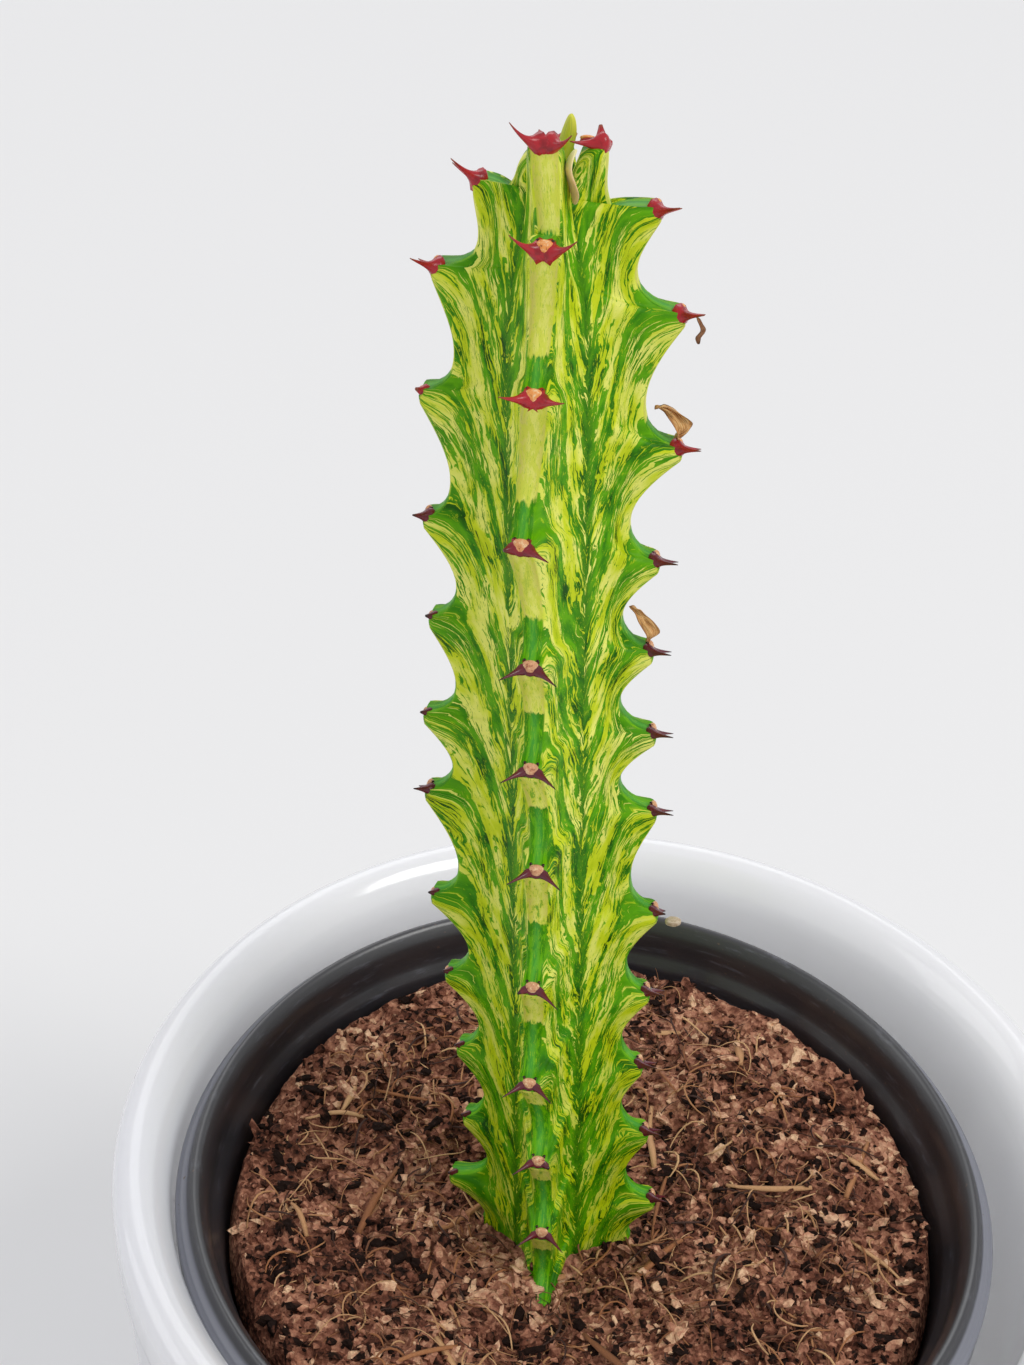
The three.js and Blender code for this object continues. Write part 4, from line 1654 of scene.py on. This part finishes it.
SPEAR = (
    (0, 0.6, 0.6, 0.8), (0, 0.9, 1.9, 1.3), (0, 1.1, 3.2, 1.5), (0, 1.3, 4.4, 1.4),
    (0, 1.4, 5.4, 1), (0, 1.4, 6.1, 0.5),
)
CREAM_SCALE = (
    (3.7, 2.6, -1.7, 0.6), (4.1, 2.5, -0.4, 1.9), (4.8, 2.2, 0.9, 2), (5.3, 1.95, 2, 1.7),
    (5.4, 2.05, 3, 1.4), (5.1, 2.45, 3.9, 0.6),
)
UPPER_CURL = (
    (12.1, 0, 0.7, 0.35), (12.4, 0, 1.5, 0.8), (12.8, 0, 2.4, 1.9), (12.1, 0.2, 3.4, 2),
    (11.1, 0.2, 4.1, 1.3), (10.3, 0, 4.4, 0.9), (9.9, -0.2, 4.1, 0.35),
)
LOWER_CURL = (
    (10.1, 0, 0.7, 0.35), (10.2, 0, 1.5, 0.7), (10.5, 0, 2.3, 1.6), (9.8, 0.2, 3.4, 1.7),
    (9, 0.2, 4.4, 1), (8.4, 0, 5.1, 1.1), (8, 0, 5.3, 0.5),
)
WITHERED_SCRAP = (
    (13.8, -2.7, 1.2, 0.3), (14.2, -2.95, 0.7, 0.5), (14.45, -3, 0, 0.8), (14.1, -3, -0.7, 0.6),
    (14.2, -2.9, -1.4, 0.35),
)


@dataclass
class SmallLeaves:
    """The newest leaf, a cream scale, and the dried pieces that cling to the right rib."""

    stem: Stem

    def build(self) -> None:
        """Make the young leaves and the dried ones."""
        stem, right = self.stem, RIBS[1].teeth
        spear = CurledBlade(stem, 0, stem.growing_point, SPEAR, 0.8, (0.0, 0.25))
        scale = CurledBlade(stem, 0, stem.growing_point + 0.8, CREAM_SCALE, 0.55, (0.95, 1.35))
        upper = CurledBlade(stem, 1, right[9][0], UPPER_CURL, 0.3, (0.5, 2.1), crinkle=0.7, fold=0.5)
        lower = CurledBlade(stem, 1, right[7][0], LOWER_CURL, 0.3, (0.5, 2.1), crinkle=0.45, fold=0.45)
        scrap = CurledBlade(stem, 1, right[10][0], WITHERED_SCRAP, 0.25, (0.2, 1.4), crinkle=0.2, fold=0.3)
        spring = YoungLeaf("spring_leaf", tint("A9B81E"), tint("D8D83A"), tint("8FA81C")).material()
        cream = YoungLeaf("cream_scale", tint("F0BE8A"), tint("F0E8A0"), tint("E6C07A")).material()
        dry = PaperyTissue("papery_leaf", tint("F0CF94"), tint("D49C58"), tint("7A4420"))
        brown = PaperyTissue("withered_scrap", tint("B98A5A"), tint("8A5630"), tint("3E2414")).material()
        make_piece("tip_leaf_spear", spear.form(), spring, Slot.YOUNG, "tip_leaf")
        make_piece("young_leaf_scale", scale.form(), cream, Slot.YOUNG, "young_leaf")
        make_piece("dried_leaf_upper_curl", upper.form(), dry.material(), Slot.DRIED, "dried_leaf_upper")
        make_piece("dried_leaf_lower_curl", lower.form(), dry.material(), Slot.DRIED, "dried_leaf_lower")
        make_piece("dried_scrap_curl", scrap.form(), brown, Slot.DRIED, "dried_scrap")
        self._bud()

    def _bud(self) -> None:
        """Make the pale dried bud on a low right spine."""
        height, reach, _, _ = RIBS[1].teeth[4]
        outward, sideways = self.stem.directions(1)
        centre = self.stem.middle(height + 0.6) + outward * (reach + 1.85) - sideways * 2.1
        levels, sides = 14, 18
        rings, along = [], []
        for k in range(1, levels):
            polar = math.pi * k / levels
            middle = Vector((0.92 * math.cos(polar), 0, 0))
            wide, tall = Vector((0, 0.64 * math.sin(polar), 0)), Vector((0, 0, 0.56 * math.sin(polar)))
            offsets = oval(middle, wide, tall, sides)
            rings.append([centre + offset * (1 + 0.1 * noise.noise(offset * 2.6)) for offset in offsets])
            along.append(0.3 * (1 - abs(math.cos(polar))))
        form = Form()
        edges = [math.cos(2 * math.pi * i / sides) for i in range(sides)]
        form.tube(rings, {"along": along}, {"aside": edges})
        pale = PaperyTissue("dried_bud_skin", tint("E2D8C4"), tint("C9B596"), tint("8C7458"))
        make_piece("dried_bud_pale", form, pale.material(), Slot.DRIED, "dried_bud")


GOLDEN = (1 + math.sqrt(5)) / 2
CRUMB_CORNERS = (
    (-1, GOLDEN, 0), (1, GOLDEN, 0), (-1, -GOLDEN, 0), (1, -GOLDEN, 0), (0, -1, GOLDEN),
    (0, 1, GOLDEN), (0, -1, -GOLDEN), (0, 1, -GOLDEN), (GOLDEN, 0, -1), (GOLDEN, 0, 1),
    (-GOLDEN, 0, -1), (-GOLDEN, 0, 1),
)
CRUMB_FACES = (
    (0, 11, 5), (0, 5, 1), (0, 1, 7), (0, 7, 10), (0, 10, 11), (1, 5, 9), (5, 11, 4), (11, 10, 2),
    (10, 7, 6), (7, 1, 8), (3, 9, 4), (3, 4, 2), (3, 2, 6), (3, 6, 8), (3, 8, 9), (4, 9, 5),
    (2, 4, 11), (6, 2, 10), (8, 6, 7), (9, 8, 1),
)
FIBRE_ANGLES = (0.5, 1.8, 3.1, 4.3, 5.4)


@dataclass
class PottingMix:
    """Heap of bark dust and coir, with loose crumbs, fibres and split straws on it."""

    stem: Stem
    pot: NurseryPot
    edge_radius: float = 45.3
    edge_drop: float = 0.8
    dip_at_stem: float = 3.0
    clear_of_stem: float = 7.5
    rings: int = 110
    sectors: int = 300
    crumbs: int = 8600
    fibres: int = 1400
    straws: int = 24
    fibre_steps: int = 7
    draw: random.Random = field(default_factory=lambda: random.Random(11))

    def relief(self, x: float, y: float) -> float:
        """Work out the heap's swells, its dip at the stem and its one hollow.

        Args:
            x: Place to the right.
            y: Place to the back.

        Returns:
            Its height above the soil level.
        """
        from_stem = math.hypot(x - self.stem.foot[0], y - self.stem.foot[1])
        dip = self.dip_at_stem * (1 - ease((from_stem - 8) / 24))
        swells = 0.55 * math.sin(0.23 * x + 0.9) * math.cos(0.19 * y - 0.5)
        swells += 0.4 * math.sin(0.41 * x - 0.33 * y + 2.1) + 0.3 * math.cos(0.52 * y + 0.37 * x)
        hollow = 2.6 * math.exp(-((x - 8.5) ** 2 + (y - 12) ** 2) / 14)
        return swells - dip - hollow

    def surface(self, x: float, y: float) -> Vector:
        """Find the point of the heap's surface, with its fine lumps.

        Args:
            x: Place to the right.
            y: Place to the back.

        Returns:
            The point.
        """
        lumps = noise.fractal(Vector((x * 0.3, y * 0.3, 3.0)), 0.7, 2.1, 5)
        cells = noise.voronoi(Vector((x * 0.6, y * 0.6, 1.0)))[0][0]
        return Vector((x, y, SOIL_LEVEL + self.relief(x, y) + (0.85 * lumps - 0.55 * cells)))

    def build(self) -> None:
        """Make the heap and what lies on it."""
        self._heap()
        self._crumbs()
        self._fibres()

    def _heap(self) -> None:
        """Make the body of the mix down to the pot's floor."""
        form = Form()
        middle = self.pot.middle
        base = self.pot.base + self.pot.floor
        sides = (
            (self.pot.floor_radius - 2.4, base + 0.3),
            (self.pot.floor_radius - 0.8, base + 2.0),
            (self.pot.wall_radius - 0.9, SOIL_LEVEL - 5.0),
            (self.edge_radius, SOIL_LEVEL - 2.0),
        )
        levels = [form.ring(circle(middle, radius, height, self.sectors)) for radius, height in sides]
        for k in range(self.rings):
            radius = blend(self.edge_radius - 0.3, 0.4, k / (self.rings - 1))
            ring = [self.surface(point.x, point.y) for point in circle(middle, radius, 0.0, self.sectors)]
            if k == 0:
                for point in ring:
                    point.z -= self.edge_drop
            levels.append(form.ring(ring))
        top = SOIL_LEVEL + self.relief(*middle)
        form.skin(levels, Vector((*middle, base + 0.3)), Vector((*middle, top)))
        make_piece("soil_heap", form, CoirMix("coir_mix").material(), Slot.MIX, "soil")

    def _spot(self, margin: float) -> Vector:
        """Draw a random place on the heap, clear of its edge and of the stem.

        Args:
            margin: Least distance from its edge.

        Returns:
            The place.
        """
        while True:
            radius = (self.edge_radius - margin) * math.sqrt(self.draw.random())
            turn = self.draw.random() * 2 * math.pi
            x = self.pot.middle[0] + radius * math.cos(turn)
            y = self.pot.middle[1] + radius * math.sin(turn)
            if math.hypot(x - self.stem.foot[0], y - self.stem.foot[1]) > self.clear_of_stem:
                return self.surface(x, y)

    def _crumbs(self) -> None:
        """Scatter crumbs of bark over the heap."""
        form = Form()
        corners = [Vector(corner).normalized() for corner in CRUMB_CORNERS]
        for _ in range(self.crumbs):
            size = blend(0.16, 0.85, self.draw.random() ** 2.6)
            long = blend(1.0, 3.4, self.draw.random() ** 1.6)
            flat = self.draw.uniform(0.3, 0.9)
            heading = Matrix.Rotation(self.draw.random() * 2 * math.pi, 3, "Z")
            spin = heading @ Matrix.Rotation(self.draw.uniform(-0.9, 0.9), 3, "Y")
            centre = self._spot(0.8) + Vector((0, 0, size * 0.25))
            tone = self.draw.random() ** 1.5 * 0.9
            halves = [Vector((c.x * size * long, c.y * size, c.z * size * flat)) for c in corners]
            numbers = form.ring([centre + spin @ half * self.draw.uniform(0.6, 1.3) for half in halves])
            for a, b, c in CRUMB_FACES:
                form.face((numbers[a], numbers[b], numbers[c]), tone=(tone,) * 3)
        piece = make_piece("soil_crumbs", form, CoirMix("bark_crumb").material("tone"), Slot.MIX, "soil")
        piece.data.polygons.foreach_set("use_smooth", [False] * len(piece.data.polygons))

    def _fibres(self) -> None:
        """Lay curled fibres, and then split straws, over the heap."""
        form = Form()
        for k in range(self.fibres + self.straws):
            self._fibre(form, k >= self.fibres)
        make_piece("soil_fibres", form, Straw().material(), Slot.MIX, "soil")

    def _fibre(self, form: Form, straw: bool) -> None:
        """Lay one fibre or one split straw.

        Args:
            form: The form that is made.
            straw: Whether it is a straw.
        """
        draw = self.draw
        length = draw.uniform(4, 12) if straw else blend(1.5, 9.0, draw.random() ** 1.8)
        thick = draw.uniform(0.2, 0.45) if straw else blend(0.05, 0.2, draw.random() ** 1.5)
        place = self._spot(8.0 if straw else 5.0)
        turn = draw.random() * 2 * math.pi
        lift = draw.uniform(-0.1, 0.25) if straw else draw.uniform(-0.1, 0.7)
        curl = draw.uniform(-0.35, 0.35) if straw else draw.uniform(-2.8, 2.8)
        tone = draw.uniform(0.3, 0.85) if straw else draw.random() ** 1.3 * 0.95
        width = 1.5 if straw else 1.0
        rings, along = [], []
        for step in range(self.fibre_steps + 1):
            share = step / self.fibre_steps
            forward = Vector((math.cos(turn), math.sin(turn), 0))
            aside = Vector((-forward.y, forward.x, 0))
            ground = SOIL_LEVEL + self.relief(place.x, place.y)
            rise = thick + lift * length * 0.35 * math.sin(math.pi * min(1.0, share * 1.1))
            at = Vector((place.x, place.y, ground + rise - 0.1))
            radius = thick * (0.55 + 0.45 * math.sin(math.pi * min(1.0, share + 0.12)))
            rings.append([
                at + aside * radius * width * math.cos(a) + Vector((0, 0, radius * 0.7 * math.sin(a)))
                for a in FIBRE_ANGLES
            ])
            along.append(share * length)
            place = place + forward * (length / self.fibre_steps)
            turn += curl / self.fibre_steps
        values = {"along": along, "tone": [tone] * len(rings)}
        form.tube(rings, values, {"aside": [math.cos(a) for a in FIBRE_ANGLES]})


@dataclass(frozen=True)
class SoftBox:
    """One square soft light, with its place and side in millimetres and its power in watts."""

    name: str
    place: Triple
    side: float
    power: float
    colour: Triple


@dataclass
class Studio:
    """Pale floor, soft lights and the camera of the front view."""

    eye: Triple = (-18.165, -179.865, 300.15)
    pitch: float = math.radians(34.35)
    yaw: float = math.radians(0.73)
    roll: float = math.radians(3.33)
    focal_pixels: float = 2000.0
    image_height: float = 1365.0
    sensor: float = 36.0
    floor_reach: float = 4.0
    world_colour: Colour = (0.98, 0.98, 1.0, 1.0)
    world_strength: float = 0.65
    lit_point: Triple = (0.0, 0.0, 130.0)
    boxes: tuple[SoftBox, ...] = (
        SoftBox("key_light", (1300, -900, 1900), 1000, 22.0, (1.0, 0.99, 0.97)),
        SoftBox("fill_light", (-2000, 300, 1300), 1300, 6.5, (0.97, 0.98, 1.0)),
        SoftBox("back_light", (-200, 2500, 1900), 1900, 16.5, (0.97, 0.98, 1.0)),
    )

    def build(self) -> None:
        """Make the floor, the lights, the world and the camera."""
        self._floor()
        self._world()
        for box in self.boxes:
            self._hang(box)
        self._camera()

    def _floor(self) -> None:
        """Make the pale floor."""
        mesh = bpy.data.meshes.new("floor")
        far = self.floor_reach
        corners = [(-far, -far, 0), (far, -far, 0), (far, far, 0), (-far, far, 0)]
        mesh.from_pydata(corners, [], [(0, 1, 2, 3)])
        mesh.materials.append(PaleFloor().material())
        floor = bpy.data.objects.new("floor", mesh)
        bpy.context.scene.collection.objects.link(floor)

    def _world(self) -> None:
        """Light the world with an even pale grey."""
        world = bpy.data.worlds.new("studio")
        world.use_nodes = True
        back = world.node_tree.nodes["Background"]
        back.inputs["Color"].default_value = self.world_colour
        back.inputs["Strength"].default_value = self.world_strength
        scene = bpy.context.scene
        scene.world = world
        scene.view_settings.view_transform = "Standard"

    def _hang(self, box: SoftBox) -> None:
        """Hang a soft light that faces the plant.

        Args:
            box: The light.
        """
        lamp = bpy.data.lights.new(box.name, "AREA")
        lamp.energy, lamp.size, lamp.color = box.power, box.side * MM, box.colour
        holder = bpy.data.objects.new(box.name, lamp)
        holder.location = Vector(box.place) * MM
        towards = Vector(self.lit_point) - Vector(box.place)
        holder.rotation_euler = towards.to_track_quat("-Z", "Y").to_euler()
        bpy.context.scene.collection.objects.link(holder)

    def _camera(self) -> None:
        """Set the camera where the photograph was taken from."""
        cos_p, sin_p = math.cos(self.pitch), math.sin(self.pitch)
        forward = Vector((math.sin(self.yaw) * cos_p, math.cos(self.yaw) * cos_p, -sin_p))
        level = Vector((math.cos(self.yaw), -math.sin(self.yaw), 0))
        above = level.cross(forward)
        right = level * math.cos(self.roll) + above * math.sin(self.roll)
        up = above * math.cos(self.roll) - level * math.sin(self.roll)
        lens = bpy.data.cameras.new("front_view")
        lens.sensor_width = self.sensor
        lens.lens = self.focal_pixels / self.image_height * self.sensor
        lens.clip_start = 0.01
        camera = bpy.data.objects.new("front_view", lens)
        rows = Matrix((right, up, -forward)).transposed().to_4x4()
        camera.matrix_world = Matrix.Translation(Vector(self.eye) * MM) @ rows
        bpy.context.scene.collection.objects.link(camera)
        bpy.context.scene.camera = camera


def main() -> None:
    """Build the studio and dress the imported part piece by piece."""
    logging.basicConfig(level=logging.INFO, format="%(name)s %(message)s")
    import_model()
    Studio().build()
    CoverPot().build()
    pot = NurseryPot()
    pot.build()
    stem = Stem()
    stem.build_flesh()
    Spines(stem).build()
    SmallLeaves(stem).build()
    PottingMix(stem, pot).build()


if __name__ == "__main__":
    main()
